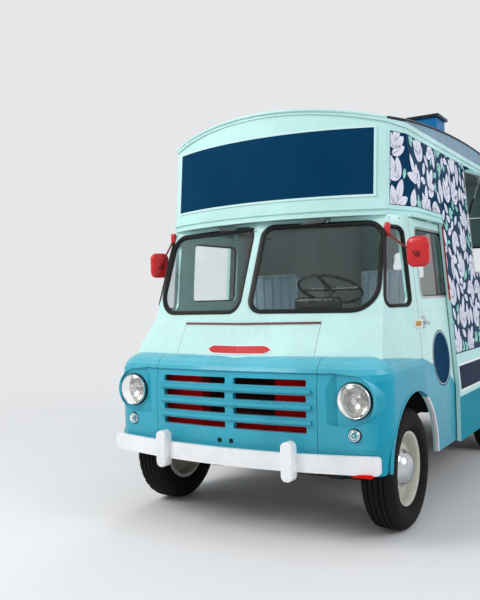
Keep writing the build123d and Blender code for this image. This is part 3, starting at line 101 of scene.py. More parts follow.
class Net:
    """Node network of one material, with short ways to add to it."""

    def __init__(self, name):
        self.mat = bpy.data.materials.new(name)
        self.mat.use_nodes = True
        self.nodes, self.links = self.mat.node_tree.nodes, self.mat.node_tree.links
        self.shader = self.nodes["Principled BSDF"]
        coords = self.new("TexCoord")
        self.coords, self.normal = coords.outputs["Object"], coords.outputs["Normal"]
        self.axes = None

    def new(self, kind):
        return self.nodes.new("ShaderNode" + kind)

    def put(self, socket, value):
        """Link another socket to this one, or set its constant."""
        if isinstance(value, bpy.types.NodeSocket):
            self.links.new(value, socket)
        else:
            socket.default_value = value

    def set(self, **values):
        """Inputs of the shader by name, with _ for a space."""
        for name, value in values.items():
            self.put(self.shader.inputs[name.replace("_", " ")], value)

    def math(self, operation, a, b=0.0, c=0.0):
        node = self.new("Math")
        node.operation = operation
        for socket, value in zip(node.inputs, (a, b, c)):
            self.put(socket, value)
        return node.outputs[0]

    def times(self, a, b):
        return self.math("MULTIPLY", a, b)

    def plus(self, a, b):
        return self.math("ADD", a, b)

    def mix(self, share, a, b):
        node = self.new("Mix")
        node.data_type = "RGBA"
        for index, value in ((0, share), (6, a), (7, b)):
            self.put(node.inputs[index], value)
        return node.outputs[2]

    def scaled(self, tone, factor):
        """Colour made brighter or darker."""
        node = self.new("VectorMath")
        node.operation = "SCALE"
        self.put(node.inputs[0], tone if isinstance(tone, bpy.types.NodeSocket) else tone[:3])
        self.put(node.inputs["Scale"], factor)
        return node.outputs[0]

    def noise(self, scale, detail, rough=0.55, stretch=None):
        node = self.new("TexNoise")
        vector = self.coords
        if stretch:
            mapping = self.new("Mapping")
            self.put(mapping.inputs["Vector"], vector)
            mapping.inputs["Scale"].default_value = stretch
            vector = mapping.outputs[0]
        self.put(node.inputs["Vector"], vector)
        for key, value in (("Scale", scale), ("Detail", detail), ("Roughness", rough)):
            node.inputs[key].default_value = value
        return node.outputs["Fac"]

    def span(self, value, low, high, out_low=0.0, out_high=1.0):
        """Value carried from one range to another, and held at its ends."""
        node = self.new("MapRange")
        for socket, number in zip(node.inputs, (value, low, high, out_low, out_high)):
            self.put(socket, number)
        return node.outputs[0]

    def axis(self, name):
        """x, y, z; ax, the distance from the centre plane; skin, constant on the body's leaning
        side; back, constant on the header's raked front; or out, above 0 where a side faces out."""
        if self.axes is None:
            moved_home = self.new("VectorMath")
            moved_home.operation = "SUBTRACT"
            self.put(moved_home.inputs[0], self.coords)
            moved_home.inputs[1].default_value = HOME
            split = self.new("SeparateXYZ")
            self.put(split.inputs[0], moved_home.outputs[0])
            self.axes = dict(zip("xyz", split.outputs))
            self.axes["ax"] = self.math("ABSOLUTE", self.axes["x"])
            above = self.math("MAXIMUM", self.math("SUBTRACT", self.axes["z"], BELT_Z), 0.0)
            self.axes["skin"] = self.math("MULTIPLY_ADD", above, LEAN, self.axes["ax"])
            rise = self.math("SUBTRACT", self.axes["z"], CAB_TOP_Z)
            self.axes["back"] = self.math("MULTIPLY_ADD", rise, -HEADER_RAKE, self.axes["y"])
            self.axes["out"] = self.times(self.axes["x"], self.facing()[0])
        return self.axes[name]

    def facing(self):
        """Parts of the surface's normal."""
        split = self.new("SeparateXYZ")
        self.put(split.inputs[0], self.normal)
        return split.outputs

    def within(self, *limits):
        """Mask that is 1 between the limits on every named axis."""
        mask = None
        for name, low, high in limits:
            step = self.math("COMPARE", self.axis(name), (low + high) / 2, (high - low) / 2)
            mask = step if mask is None else self.times(mask, step)
        return mask

    def bump(self, height, strength, distance=0.001, below=None):
        node = self.new("Bump")
        self.put(node.inputs["Height"], height)
        node.inputs["Strength"].default_value = strength
        node.inputs["Distance"].default_value = distance
        if below is not None:
            self.put(node.inputs["Normal"], below)
        return node.outputs[0]


def paint(name, colour, zones=(), rough=0.30, coat=0.35, dirt=0.3, fade=0.08, rust=0.0, hook=None,
          shine=0.45, ior=1.5):
    """Old gloss coach paint: zones of colour, cloudy fading, road dirt low down and a soft ripple."""
    net = Net(name)
    tone = colour
    for shade, *limits in zones:
        tone = net.mix(net.within(*limits), tone, shade)
    if hook:
        tone = hook(net, tone)
    tone = net.scaled(tone, net.span(net.noise(2.2, 4), 0.3, 0.7, 1 - fade, 1 + fade))
    low = net.span(net.axis("z"), 0.28, 0.95, 1.0, 0.0)
    speck = net.span(net.noise(26, 6, 0.7), 0.42, 0.75)
    streak = net.span(net.noise(5, 4, 0.6, (3.0, 3.0, 0.35)), 0.45, 0.75)
    splash = net.times(net.math("POWER", low, 1.6), net.plus(net.times(speck, 0.6), 0.35))
    soil = net.plus(net.times(splash, dirt), net.times(streak, dirt * 0.16))
    tone = net.mix(soil, tone, DIRT)
    if rust:
        spots = net.span(net.noise(38, 5, 0.75), 0.70 - rust * 0.1, 0.74)
        tone = net.mix(net.times(spots, rust), tone, RUST)
    gloss = net.span(net.noise(14, 4), 0.3, 0.7, rough - 0.06, rough + 0.10)
    net.set(Base_Color=tone, Roughness=net.plus(gloss, net.times(soil, 0.4)))
    net.set(Coat_Weight=coat, Coat_Roughness=0.08, Specular_IOR_Level=shine, IOR=ior)
    ripple = net.bump(net.noise(3.5, 2), 0.22, 0.006)
    net.set(Normal=net.bump(net.noise(240, 2), 0.06, 0.001, ripple))
    return net.mat


def metal(name, colour, rough, wear, rust, scale):
    """Plated or bare metal with dull patches and pits of rust."""
    net = Net(name)
    patch = net.span(net.noise(scale, 5, 0.65), 0.45, 0.75)
    pit = net.span(net.noise(scale * 4, 5, 0.7), 0.66, 0.74)
    tone = net.mix(net.times(patch, wear), colour, lin(0.42, 0.40, 0.37))
    tone = net.mix(net.times(pit, rust), tone, RUST)
    net.set(Base_Color=tone, Metallic=net.math("SUBTRACT", 1.0, net.times(pit, rust)))
    net.set(Roughness=net.plus(net.times(patch, 0.25), rough))
    net.set(Normal=net.bump(net.noise(scale * 6, 3), 0.05))
    return net.mat


def matt(name, colour, rough, fleck, scale, bump=0.15, share=0.35, shine=0.5):
    """Plastic, rubber, board or vinyl: a cloudy tone with a fine grain."""
    net = Net(name)
    patch = net.span(net.noise(scale, 5, 0.6), 0.35, 0.7)
    wide = net.span(net.noise(scale / 12, 3), 0.3, 0.7)
    tone = net.mix(net.times(patch, share), colour, fleck)
    tone = net.mix(net.times(wide, share * 0.5), tone, fleck)
    net.set(Base_Color=tone, Roughness=net.span(patch, 0.0, 1.0, rough - 0.08, rough + 0.1))
    net.set(Normal=net.bump(net.noise(scale * 5, 3), bump), Specular_IOR_Level=shine)
    return net.mat


def glass(name, tint, rough=0.015, ior=1.45):
    """Clear pane that lets the light in, with a little dust."""
    net = Net(name)
    dust = net.span(net.noise(9, 6, 0.7), 0.5, 0.8, 0.0, 0.05)
    net.set(Base_Color=tint, Transmission_Weight=1.0, IOR=ior)
    net.set(Roughness=net.plus(dust, rough))
    path, clear, both_ways = (net.new(kind) for kind in ("LightPath", "BsdfTransparent", "MixShader"))
    clear.inputs[0].default_value = tint
    net.links.new(path.outputs["Is Shadow Ray"], both_ways.inputs[0])
    net.links.new(net.shader.outputs[0], both_ways.inputs[1])
    net.links.new(clear.outputs[0], both_ways.inputs[2])
    net.links.new(both_ways.outputs[0], net.nodes["Material Output"].inputs[0])
    return net.mat


# Where the paint changes colour

PANEL_LOW, PANEL_TOP = 0.880, 2.178
HEADER_PANEL_LOW, PANEL_MARGIN = 1.762, 0.035
BAND_LOW, BAND_TOP, BAND_LINE = 0.647, 0.808, 0.007
TEAL_TOP = 0.612
OUTER = ("skin", BODY_X - SKIN, BODY_X + 0.02)
FRONT_EDGE = ("y", SIDE_FRONT_Y - 0.01, SIDE_FRONT_Y + 0.0005)
SIDE_ZONES = (
    (LINING, ("skin", 0.0, BODY_X - SKIN)),
    (MINT, FRONT_EDGE),
    (NAVY, OUTER, ("z", PANEL_LOW, PANEL_TOP), ("y", SIDE_FRONT_Y + 0.001, REAR_Y - 0.055)),
    (WHITE, OUTER, ("z", BAND_LOW - BAND_LINE, BAND_TOP + BAND_LINE),
     ("y", SIDE_FRONT_Y + 0.02, REAR_Y - 0.055)),
    (STRIPE, OUTER, ("z", BAND_LOW + BAND_LINE, BAND_TOP - BAND_LINE),
     ("y", SIDE_FRONT_Y + 0.032, REAR_Y - 0.067)),
    # Low band in the darker copy of teal that stands for shade
    (SHADED_SIDE_TEAL, OUTER, ("z", 0.0, TEAL_TOP), ("y", SIDE_FRONT_Y + 0.001, REAR_Y)),
)
RED_EDGE = (RED, FRONT_EDGE, ("z", 1.22, 1.69), ("skin", BODY_X - 0.009, BODY_X + 0.01))
REAR_ZONES = ((SHADED_SIDE_TEAL, ("z", 0.0, TEAL_TOP), ("y", REAR_Y - 0.002, REAR_Y + 0.05)),)
VENT_CAP = ((lin(0.10, 0.12, 0.15), ("z", 2.6149, 2.70)),)
DOOR_CURVE = ((0.0, 0.565), (0.14, 0.511), (0.36, 0.416), (0.63, 0.282), (0.74, 0.222), (0.88, 0.09),
              (1.0, 0.03))


def door_curve(net, tone):
    """Teal below a line that falls back along the door from the fender's shoulder."""
    ramp = net.new("FloatCurve")
    net.put(ramp.inputs["Value"], net.span(net.axis("y"), -1.340, -0.640))
    curve = ramp.mapping.curves[0]
    curve.points[0].location, curve.points[1].location = DOOR_CURVE[0], DOOR_CURVE[-1]
    for spot in DOOR_CURVE[1:-1]:
        curve.points.new(*spot)
    ramp.mapping.update()
    edge = net.span(ramp.outputs[0], 0.0, 1.0, 0.650, 1.100)
    under = net.math("LESS_THAN", net.axis("z"), edge)
    outside = net.math("GREATER_THAN", net.axis("skin"), BODY_X - DOOR_IN - 0.010)
    return net.mix(net.times(under, outside), tone, TEAL)


def roof_faces(net, tone):
    """Blue-grey top and side arches, a pale ceiling, and a mint rim."""
    facing = net.facing()
    top = net.math("GREATER_THAN", facing[2], 0.5)
    side = net.times(net.math("GREATER_THAN", net.math("ABSOLUTE", facing[0]), 0.7),
                     net.math("GREATER_THAN", net.axis("z"), EAVE_Z + 0.0275))
    tone = net.mix(net.math("LESS_THAN", facing[2], -0.5), tone, LINING)
    return net.mix(net.math("MAXIMUM", top, side), tone, ROOF)


def header_flank(net, tone):
    """Navy ground of the pattern on the header's sides."""
    panel = net.within(("back", HEADER_Y + PANEL_MARGIN, 0.0), ("y", -2.0, SIDE_FRONT_Y),
                       ("z", HEADER_PANEL_LOW, PANEL_TOP))
    outside = net.math("GREATER_THAN", net.axis("out"), 0.3)
    return net.mix(net.times(panel, outside), tone, NAVY)


def cab_lines(net, tone):
    """Gaps round the bonnet's lid, with dull red along the top one."""
    lines = net.within(("ax", 0.4388, 0.4412), ("z", 0.94, 1.122), ("y", -2.1, -1.80))
    tone = net.mix(net.times(lines, 0.8), tone, lin(0.12, 0.16, 0.17))
    return net.mix(net.within(("ax", -0.01, 0.4405), ("z", 1.1215, 1.1315)), tone, lin(0.42, 0.13, 0.17))


def nose_lines(net, tone):
    """Painted sky sheen on the front and shoulders, the seams between nose and fenders, and a painted shade
    line along the pressed bead.
    """
    facing = net.facing()
    # Painted sky sheen: paler teal where the surface faces up or forward
    shoulders = net.span(facing[2], 0.08, 0.75, 0.0, 0.7)
    front = net.span(facing[1], -1.0, -0.7, 0.25, 0.0)
    tone = net.mix(net.math("MAXIMUM", shoulders, front), tone, SKY_SHEEN_TEAL)
    seam = net.within(("ax", NOSE_SEAM_X - 0.0016, NOSE_SEAM_X + 0.0016))
    # Painted shade: a dark line along the pressed bead low on the fenders
    press = net.within(("ax", 0.545, 0.800), ("z", 0.5015, 0.5040))
    return net.mix(net.plus(net.times(seam, 0.85), net.times(press, 0.35)), tone, SEAM)


def hatch_faces(net, tone):
    """Painted shade: a dark grey-green where the lid faces down."""
    return net.mix(net.math("LESS_THAN", net.facing()[2], -0.5), tone, UNDERSIDE_SHADE)


# The materials

FLAT = {"rough": 0.50, "coat": 0.0, "dirt": 0.10, "shine": 0.5, "ior": 1.05}
SIDE = {"coat": 0.0, "dirt": 0.12, "shine": 0.5, "ior": 1.06}
LOOKS = {
    "mint": paint("mint_paint", MINT),
    "cab": paint("cab_paint", MINT, hook=cab_lines),
    "header": paint("header_paint", MINT, hook=header_flank, **SIDE),
    "side_left": paint("side_paint_left", MINT, (*SIDE_ZONES, RED_EDGE), **SIDE),
    "side_right": paint("side_paint_right", MINT, SIDE_ZONES, **SIDE),
    "door": paint("door_paint", MINT, hook=door_curve, coat=0.2),
    "teal": paint("teal_paint", TEAL, hook=nose_lines, dirt=0.04, fade=0.12, coat=0.3, rough=0.24,
                  ior=1.2),
    "rear": paint("rear_paint", MINT, REAR_ZONES),
    "roof": paint("roof_paint", MINT, hook=roof_faces, rough=0.42, coat=0.1),
    "hatch": paint("hatch_paint", MINT, hook=hatch_faces),
    "vent": paint("vent_paint", lin(0.0, 0.42, 0.64), VENT_CAP, coat=0.0, dirt=0.05, shine=0.2, ior=1.3),
    "white": paint("white_paint", WHITE, dirt=0.22, rust=0.5, rough=0.34),
    "red": paint("red_paint", RED, rough=0.3, dirt=0.1, fade=0.05, shine=0.35),
    "clamp": paint("clamp_paint", lin(0.46, 0.04, 0.06), rough=0.35, dirt=0.1, coat=0.1, shine=0.3),
    "cream": paint("wheel_paint", lin(0.79, 0.78, 0.73), rough=0.4, coat=0.1, dirt=0.4, rust=0.9),
    "navy": paint("navy_film", NAVY, fade=0.10, **FLAT),
    "lilac": paint("lilac_film", LILAC, fade=0.03, **FLAT),
    "aqua": paint("aqua_film", lin(0.62, 0.86, 0.80), fade=0.03, **FLAT),
    "edge": paint("edge_film", lin(0.90, 0.92, 0.93), fade=0.02, **FLAT),
    "rim": paint("sign_rim", lin(0.80, 0.92, 0.91), fade=0.02, **FLAT),
    "black": paint("chassis_paint", lin(0.085, 0.085, 0.09), rough=0.55, coat=0.0, dirt=0.5, rust=0.5,
                   shine=0.3),
    "lip": paint("lip_paint", lin(0.05, 0.07, 0.10), rough=0.5, coat=0.0, dirt=0.2, shine=0.3),
    "engine": paint("engine_paint", lin(0.30, 0.36, 0.36), rough=0.5, coat=0.0, dirt=0.5),
    "hump": paint("cover_paint", lin(0.50, 0.56, 0.57), rough=0.45, coat=0.1, dirt=0.3),
    "grille_red": paint("grille_red", lin(0.86, 0.05, 0.06), fade=0.15, **FLAT),
    "core": paint("radiator_core", lin(0.34, 0.17, 0.16), fade=0.3, **FLAT),
    "chrome": metal("chrome", lin(0.80, 0.81, 0.82), 0.08, 0.25, 0.35, 60),
    "bowl": metal("reflector", lin(0.86, 0.86, 0.85), 0.22, 0.2, 0.05, 60),
    "steel": metal("steel", lin(0.62, 0.63, 0.63), 0.30, 0.35, 0.05, 24),
    "alloy": metal("window_alloy", lin(0.78, 0.79, 0.79), 0.28, 0.3, 0.0, 30),
    "pipe": metal("exhaust_steel", lin(0.36, 0.31, 0.27), 0.45, 0.6, 0.8, 18),
    "rubber": matt("rubber", lin(0.045, 0.047, 0.052), 0.5, lin(0.12, 0.12, 0.12), 80, shine=0.3),
    "tyre": matt("tyre_rubber", lin(0.05, 0.05, 0.053), 0.75, lin(0.15, 0.14, 0.125), 45, 0.3, 0.4, 0.15),
    "plastic": matt("black_plastic", lin(0.04, 0.04, 0.045), 0.3, lin(0.09, 0.09, 0.09), 50, 0.05,
                    shine=0.35),
    "dial": matt("dial_face", lin(0.90, 0.90, 0.86), 0.4, lin(0.7, 0.7, 0.65), 90, 0.05),
    "floor": matt("floor_ply", lin(0.40, 0.33, 0.26), 0.6, lin(0.26, 0.21, 0.17), 16, 0.2, 0.5),
    "vinyl": matt("seat_vinyl", lin(0.62, 0.72, 0.77), 0.42, lin(0.50, 0.60, 0.66), 150, 0.3, 0.3),
    "piping": matt("seat_piping", lin(0.86, 0.88, 0.88), 0.4, lin(0.6, 0.64, 0.66), 150, 0.1),
    "pane": glass("window_glass", (0.93, 0.97, 0.97, 1.0), ior=1.25),
    "side_pane": glass("quarter_glass", (0.90, 0.96, 1.0, 1.0), ior=1.52),
    "lens": glass("lamp_glass", (0.97, 0.98, 0.98, 1.0), 0.03),
    "amber": matt("amber_lens", lin(0.86, 0.48, 0.14), 0.25, lin(0.7, 0.33, 0.1), 90, 0.2),
    "tan": matt("faded_lens", lin(0.76, 0.58, 0.27), 0.3, lin(0.62, 0.44, 0.18), 90, 0.2),
    "ruby": matt("red_lens", lin(0.62, 0.04, 0.05), 0.2, lin(0.4, 0.02, 0.03), 90, 0.2),
}
NODE_LOOKS = {
    "cab": "cab_front", "header": "header", "side_left": "side_left", "side_right": "side_right",
    "rear": "rear_frame", "mint": "rear_door_left rear_door_right dashboard", "hatch": "hatch",
    "door": "door_left door_right", "teal": "nose_panel fender_left fender_right", "roof": "roof",
    "vent": "roof_vent", "white": "bumper_front bumper_rear", "red": "mirrors",
    "black": "chassis springs front_axle rear_axle knuckle_left knuckle_right track_rod fuel_tank "
             "wheel_housings radiator",
    "plastic": "steering_column strut_tubes steering_wheel", "steel": "door_tracks strut_rods counter",
    "engine": "engine", "pipe": "exhaust", "floor": "floor",
    "pane": "cab_glass rear_glass_left rear_glass_right door_glass_left door_glass_right",
}
for look, nodes in NODE_LOOKS.items():
    for node in nodes.split():
        mesh = NODES[node].data
        mesh.materials.clear()
        mesh.materials.append(LOOKS[look])
cab_panes = NODES["cab_glass"].data
cab_panes.materials.append(LOOKS["side_pane"])
for face in cab_panes.polygons:
    face.material_index = 1 if abs(face.normal.x) > 0.6 else 0


# Pieces

def make(name, verts, faces, look, sharp=40):
    """Shown mesh object from points about the centre plane."""
    mesh = bpy.data.meshes.new(name)
    mesh.from_pydata([Vector(v) + HOME for v in verts], [], faces)
    mesh.validate()
    mesh.materials.append(LOOKS[look])
    mesh.polygons.foreach_set("use_smooth", [True] * len(mesh.polygons))
    mesh.set_sharp_from_angle(angle=radians(sharp))
    obj = bpy.data.objects.new(name, mesh)
    bpy.context.scene.collection.objects.link(obj)
    return obj


def piece(name, shape, look, body="truck", sharp=40, slot=None, replaces=()):
    """Mesh object that rides on a body, in its look. The slot argument is not used."""
    obj = make(name, *shape, look, sharp)
    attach(obj, body)
    if replaces:
        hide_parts(*replaces)
    return obj


def pair(name, shape, look, body="truck", **more):
    """A left piece and its mirror image. In the body's name, {} stands for the side."""
    return [piece(f"{name}_{side}", turned, look, body.format(side), **more)
            for side, turned in (("left", shape), ("right", mirrored(shape)))]


# Shapes, each a list of points and a list of faces

def grid_faces(rows, columns, close_rows=False, close_columns=False):
    """Quads between rows of points that are stored one row after another."""
    faces = []
    for i in range(rows if close_rows else rows - 1):
        for j in range(columns if close_columns else columns - 1):
            a, b = i * columns, ((i + 1) % rows) * columns
            k = (j + 1) % columns
            faces.append((a + j, a + k, b + k, b + j))
    return faces


def around(points, i, closed):
    """Neighbours of a point on a line."""
    count = len(points)
    if closed:
        return points[i - 1], points[(i + 1) % count]
    return points[max(i - 1, 0)], points[min(i + 1, count - 1)]


def sweep(loop, normals, profile, closed=True):
    """Profile of (outwards, height) carried along a line on a surface."""
    verts, count, n = [], len(loop), len(profile)
    for i, (spot, normal) in enumerate(zip(loop, normals)):
        before, after = around(loop, i, closed)
        out = (after - before).cross(normal).normalized()
        verts += [spot + out * a + normal * h for a, h in profile]
    faces = grid_faces(count, n, closed, True)
    if not closed:
        faces += [tuple(range(n)), tuple(reversed(range((count - 1) * n, count * n)))]
    return verts, faces


def on(place, u, v):
    """Point and outward normal of a surface."""
    tiny = 0.001
    across = place(u + tiny, v) - place(u - tiny, v)
    up = place(u, v + tiny) - place(u, v - tiny)
    return place(u, v), across.cross(up).normalized()


def laid(place, points, profile, closed=True):
    """Profile carried along a line of points on a surface."""
    spots, normals = zip(*(on(place, *p) for p in points))
    return sweep(spots, normals, profile, closed)


def tube(path, radius, sides, closed=False):
    """Round bar along points."""
    path = [Vector(p) for p in path]
    verts, count, side = [], len(path), None
    for i, spot in enumerate(path):
        before, after = around(path, i, closed)
        along = (after - before).normalized()
        if side is None:
            side = along.orthogonal().normalized()
        side = (side - along * side.dot(along)).normalized()
        other = along.cross(side)
        verts += [spot + (side * cos(a) + other * sin(a)) * radius
                  for a in (2 * pi * k / sides for k in range(sides))]
    faces = grid_faces(count, sides, closed, True)
    if not closed:
        faces += [tuple(reversed(range(sides))), tuple(range((count - 1) * sides, count * sides))]
    return verts, faces


def lathe(profile, centre, along, segments, close=True):
    """Profile of (distance along, radius) turned about an axis through the centre."""
    along = Vector(along).normalized()
    side = along.orthogonal().normalized()
    other = along.cross(side)
    verts = []
    for i in range(segments):
        turn = 2 * pi * i / segments
        out = side * cos(turn) + other * sin(turn)
        verts += [Vector(centre) + along * a + out * max(r, 0.00005) for a, r in profile]
    return verts, grid_faces(segments, len(profile), True, close)


def brick(low, high, radius=0.003, steps=2):
    """Block with rounded edges."""
    block = bmesh.new()
    bmesh.ops.create_cube(block, size=1)
    for v in block.verts:
        v.co = Vector([a + (t + 0.5) * (b - a) for a, b, t in zip(Vector(low), Vector(high), v.co)])
    bmesh.ops.bevel(block, geom=block.edges[:], offset=radius, segments=steps, affect="EDGES",
                    profile=0.5)
    block.verts.index_update()
    shape = [v.co.copy() for v in block.verts], [tuple(v.index for v in f.verts) for f in block.faces]
    block.free()
    return shape


def merge(*parts):
    verts, faces = [], []
    for some_verts, some_faces in parts:
        faces += [tuple(i + len(verts) for i in f) for f in some_faces]
        verts += list(some_verts)
    return verts, faces


def mirrored(shape):
    """The same shape on the other side of the centre plane."""
    verts, faces = shape
    return [Vector((-v[0], v[1], v[2])) for v in verts], [tuple(reversed(f)) for f in faces]


def both(shape):
    return merge(shape, mirrored(shape))


def moved(shape, matrix):
    return [matrix @ Vector(v) for v in shape[0]], shape[1]


def spaced(low, high, count):
    return [low + (high - low) * i / (count - 1) for i in range(count)]


# Flat outlines, and solids laid on a surface

def rounded(points, radii, steps=7):
    """Closed outline with rounded corners, given anticlockwise."""
    outline, count = [], len(points)
    for i, (point, radius) in enumerate(zip(points, radii)):
        p = Vector(point)
        a, b = Vector(points[i - 1]) - p, Vector(points[(i + 1) % count]) - p
        half = a.angle(b) / 2
        a, b = a.normalized(), b.normalized()
        reach = radius * cos(half) / sin(half)
        centre = p + (a + b).normalized() * (radius / sin(half))
        start, end = p + a * reach - centre, p + b * reach - centre
        swing = start.angle_signed(end)
        for step in range(steps + 1):
            t = swing * step / steps
            outline.append(centre + Vector((start.x * cos(t) + start.y * sin(t),
                                            start.y * cos(t) - start.x * sin(t))))
    return outline


def box_outline(x0, x1, y0, y1):
    return [(x0, y0), (x1, y0), (x1, y1), (x0, y1)]


def densify(points, step):
    """Closed outline with more points on its long straight runs."""
    dense = []
    for i, p in enumerate(points):
        q = points[(i + 1) % len(points)]
        count = max(1, int((q - p).length / step))
        dense += [p + (q - p) * k / count for k in range(count)]
    return dense


def plate(us, vs, place, low, high):
    """Sheet with a grid of cells laid on a surface, closed by a skirt."""
    spots = [on(place, u, v) for v in vs for u in us]
    verts = [spot + normal * high for spot, normal in spots]
    rows, columns = len(vs), len(us)
    faces = grid_faces(rows, columns)
    ring = list(range(columns)) + [r * columns + columns - 1 for r in range(1, rows)]
    ring += [(rows - 1) * columns + c for c in reversed(range(columns - 1))]
    ring += [r * columns for r in range(rows - 2, 0, -1)]
    base = len(verts)
    verts += [spots[i][0] + spots[i][1] * low for i in ring]
    for i, spot in enumerate(ring):
        k = (i + 1) % len(ring)
        faces.append((base + i, base + k, ring[k], spot))
    return verts, faces


def clip(outline, test):
    """Part of an outline where test isn't below 0."""
    kept = []
    for i, p in enumerate(outline):
        q = outline[(i + 1) % len(outline)]
        a, b = test(p), test(q)
        if a >= 0:
            kept.append(p)
        if (a >= 0) != (b >= 0):
            kept.append(p + (q - p) * (a / (a - b)))
    return kept


def halves(outlines, test):
    """Outlines cut along the line where test is 0."""
    parts = [clip(outline, way) for outline in outlines for way in (test, lambda p: -test(p))]
    return [part for part in parts if len(part) > 2]


def film(outlines, place, low=-0.0006, high=0.0009):
    """Thin flat solids laid on a surface."""
    verts, faces = [], []
    for outline in outlines:
        area = sum(p.cross(outline[(i + 1) % len(outline)]) for i, p in enumerate(outline))
        if abs(area) < 2e-6:
            continue
        outline = outline if area > 0 else outline[::-1]
        middle = sum(outline, Vector((0, 0))) / len(outline)
        normal = on(place, *middle)[1]
        first, n = len(verts), len(outline)
        for height in (low, high):
            verts += [place(*p) + normal * height for p in outline]
        faces.append(tuple(first + i for i in reversed(range(n))))
        faces.append(tuple(first + n + i for i in range(n)))
        faces += [(first + i, first + (i + 1) % n, first + n + (i + 1) % n, first + n + i) for i in range(n)]
    return verts, faces


# The solids' surfaces, which trim sits on

def side_x(z):
    return BODY_X - max(0.0, z - BELT_Z) * LEAN


def door_x(z):
    return side_x(z) - DOOR_IN


def cab_row(z):
    low, high = (CAB[0], CAB[1]) if z < CAB[1][0] else (CAB[1], CAB[2])
    t = (z - low[0]) / (high[0] - low[0])
    return [a + (b - a) * t for a, b in zip(low[1:], high[1:])]


def cab_face(x, z):
    centre_y, pillar_x, pillar_y = cab_row(z)
    return Vector((x, centre_y + (pillar_y - centre_y) * abs(x) / pillar_x, z))


def quarter_face(y, z):
    _, pillar_x, pillar_y = cab_row(z)
    share = (y - pillar_y) / (QUARTER_BEND_Y - pillar_y)
    return Vector((pillar_x + share * (door_x(z) - pillar_x), y, z))


def bow(x, half, depth):
    """How far back of its middle a bowed line lies."""
    radius = (half * half + depth * depth) / (2 * depth)
    return radius - (radius * radius - x * x) ** 0.5


def header_face(x, z):
    rake = (z - CAB_TOP_Z) * HEADER_RAKE
    return Vector((x, HEADER_Y - HEADER_BOW + rake + bow(x, HEADER_X, HEADER_BOW), z))


def nose_face(x, z):
    return Vector((x, NOSE_Y + bow(x, NOSE_X, NOSE_BOW), z))


def taper_x(y, z):
    """Header side between its corner and the full width."""
    share = (y - HEADER_Y - (z - CAB_TOP_Z) * HEADER_RAKE) / HEADER_TAPER
    return HEADER_X + share * (side_x(CAB_TOP_Z) - HEADER_X)


def flank(y, z):
    """Outer skin of the header's side and of the load body behind it."""
    return Vector((min(side_x(z), taper_x(y, z)) if z > CAB_TOP_Z else side_x(z), y, z))


def door_face(y, z):
    return Vector((door_x(z), y, z))


def rear_face(x, z):
    return Vector((x, REAR_Y - 0.002, z))


def roof_z(x, y):
    """Top of the domed roof."""
    lift = max(0.0, 1 - ((y - ROOF_MIDDLE_Y) / ROOF_REACH) ** 2)
    rise = ROOF_RISE - 0.040 * lift
    radius = (EAVE_X ** 2 + rise * rise) / (2 * rise)
    return EAVE_Z + 0.026 + ROOF_LIFT * lift + rise - radius + (radius * radius - x * x) ** 0.5


# Window seals and frames

SEAL = ((0.013, -0.002), (0.012, 0.005), (0.006, 0.009), (-0.003, 0.010), (-0.010, 0.005), (-0.015, -0.004),
        (-0.016, -0.010), (-0.004, -0.010), (-0.002, -0.002))
SLIM = ((0.004, -0.006), (0.000, -0.003), (-0.006, -0.003), (-0.010, -0.007), (-0.011, -0.014),
        (-0.002, -0.014), (0.002, -0.009))
BRIGHT = ((0.010, -0.001), (0.009, 0.0024), (0.004, 0.0032), (-0.003, 0.0028), (-0.006, -0.002),
          (-0.006, -0.010), (-0.002, -0.010), (-0.001, -0.001))
SCREEN = ((0.034, 1.191), (0.718, 1.185), (0.700, 1.665), (0.034, 1.673))
SCREEN_CORNERS = (0.070, 0.130, 0.090, 0.060)
QUARTER = ((-1.680, 1.205), (-1.430, 1.205), (-1.432, 1.637), (-1.545, 1.643))
DOOR_PANE = box_outline(-1.250, -0.698, 1.247, 1.647)
REAR_PANE = box_outline(0.130, 0.490, 1.255, 1.705)


def trim(outline, radii, place, profile):
    return laid(place, densify(rounded(outline, radii), 0.06), profile)


screen_seal = trim(SCREEN, SCREEN_CORNERS, cab_face, SEAL)
quarter_seal = trim(QUARTER, (0.042,) * 4, quarter_face, [(a * 0.75, h) for a, h in SEAL])
piece("screen_seals", both(merge(screen_seal, quarter_seal)), "rubber")
pair("door_frame", trim(DOOR_PANE, (0.045,) * 4, door_face, BRIGHT), "alloy", "door_{}")
pair("door_seal", trim(DOOR_PANE, (0.045,) * 4, door_face, SLIM), "rubber", "door_{}")
pair("rear_seal", trim(REAR_PANE, (0.060,) * 4, rear_face, [(a, -h) for a, h in SEAL]), "rubber",
     "rear_door_{}")


# Bead, wheel arch lip and handle of the cab doors

BEAD = ((0.005, -0.001), (0.003, 0.0025), (-0.003, 0.0025), (-0.005, -0.001))
BEAD_Z = 1.166
ARCH_R, ARCH_Z = 0.390, 0.353
ARCH_LIP = ((0.010, -0.004), (0.010, 0.003), (0.007, 0.0045), (0.001, 0.0045), (-0.002, 0.002),
            (-0.002, -0.016), (0.001, -0.016), (0.001, -0.004))
HANDLE_Y, HANDLE_Z = -1.288, 1.100
HANDLE_DISH = ((-0.003, 0.0001), (0.0010, 0.020), (0.0030, 0.028), (0.0050, 0.032), (0.0055, 0.034),
               (0.0040, 0.0365), (-0.003, 0.0370))
HANDLE_BOSS = ((-0.004, 0.0001), (-0.004, 0.019), (0.004, 0.019), (0.007, 0.014), (0.008, 0.0001))
HANDLE_STEM = ((0.0, 0.010), (0.014, 0.0095), (0.026, 0.0095))
HANDLE_GRIP = ((-0.0155, -0.002), (-0.012, 0.0), (0.008, 0.001), (0.033, 0.001), (0.056, -0.001),
               (0.0665, -0.004))


def arch_lip():
    line = [Vector((BODY_X - DOOR_IN, FRONT_AXLE_Y + ARCH_R * cos(a), ARCH_Z + ARCH_R * sin(a)))
            for a in spaced(radians(-1), radians(58), 24)]
    return sweep(line, [Vector((1, 0, 0))] * len(line), ARCH_LIP, False)


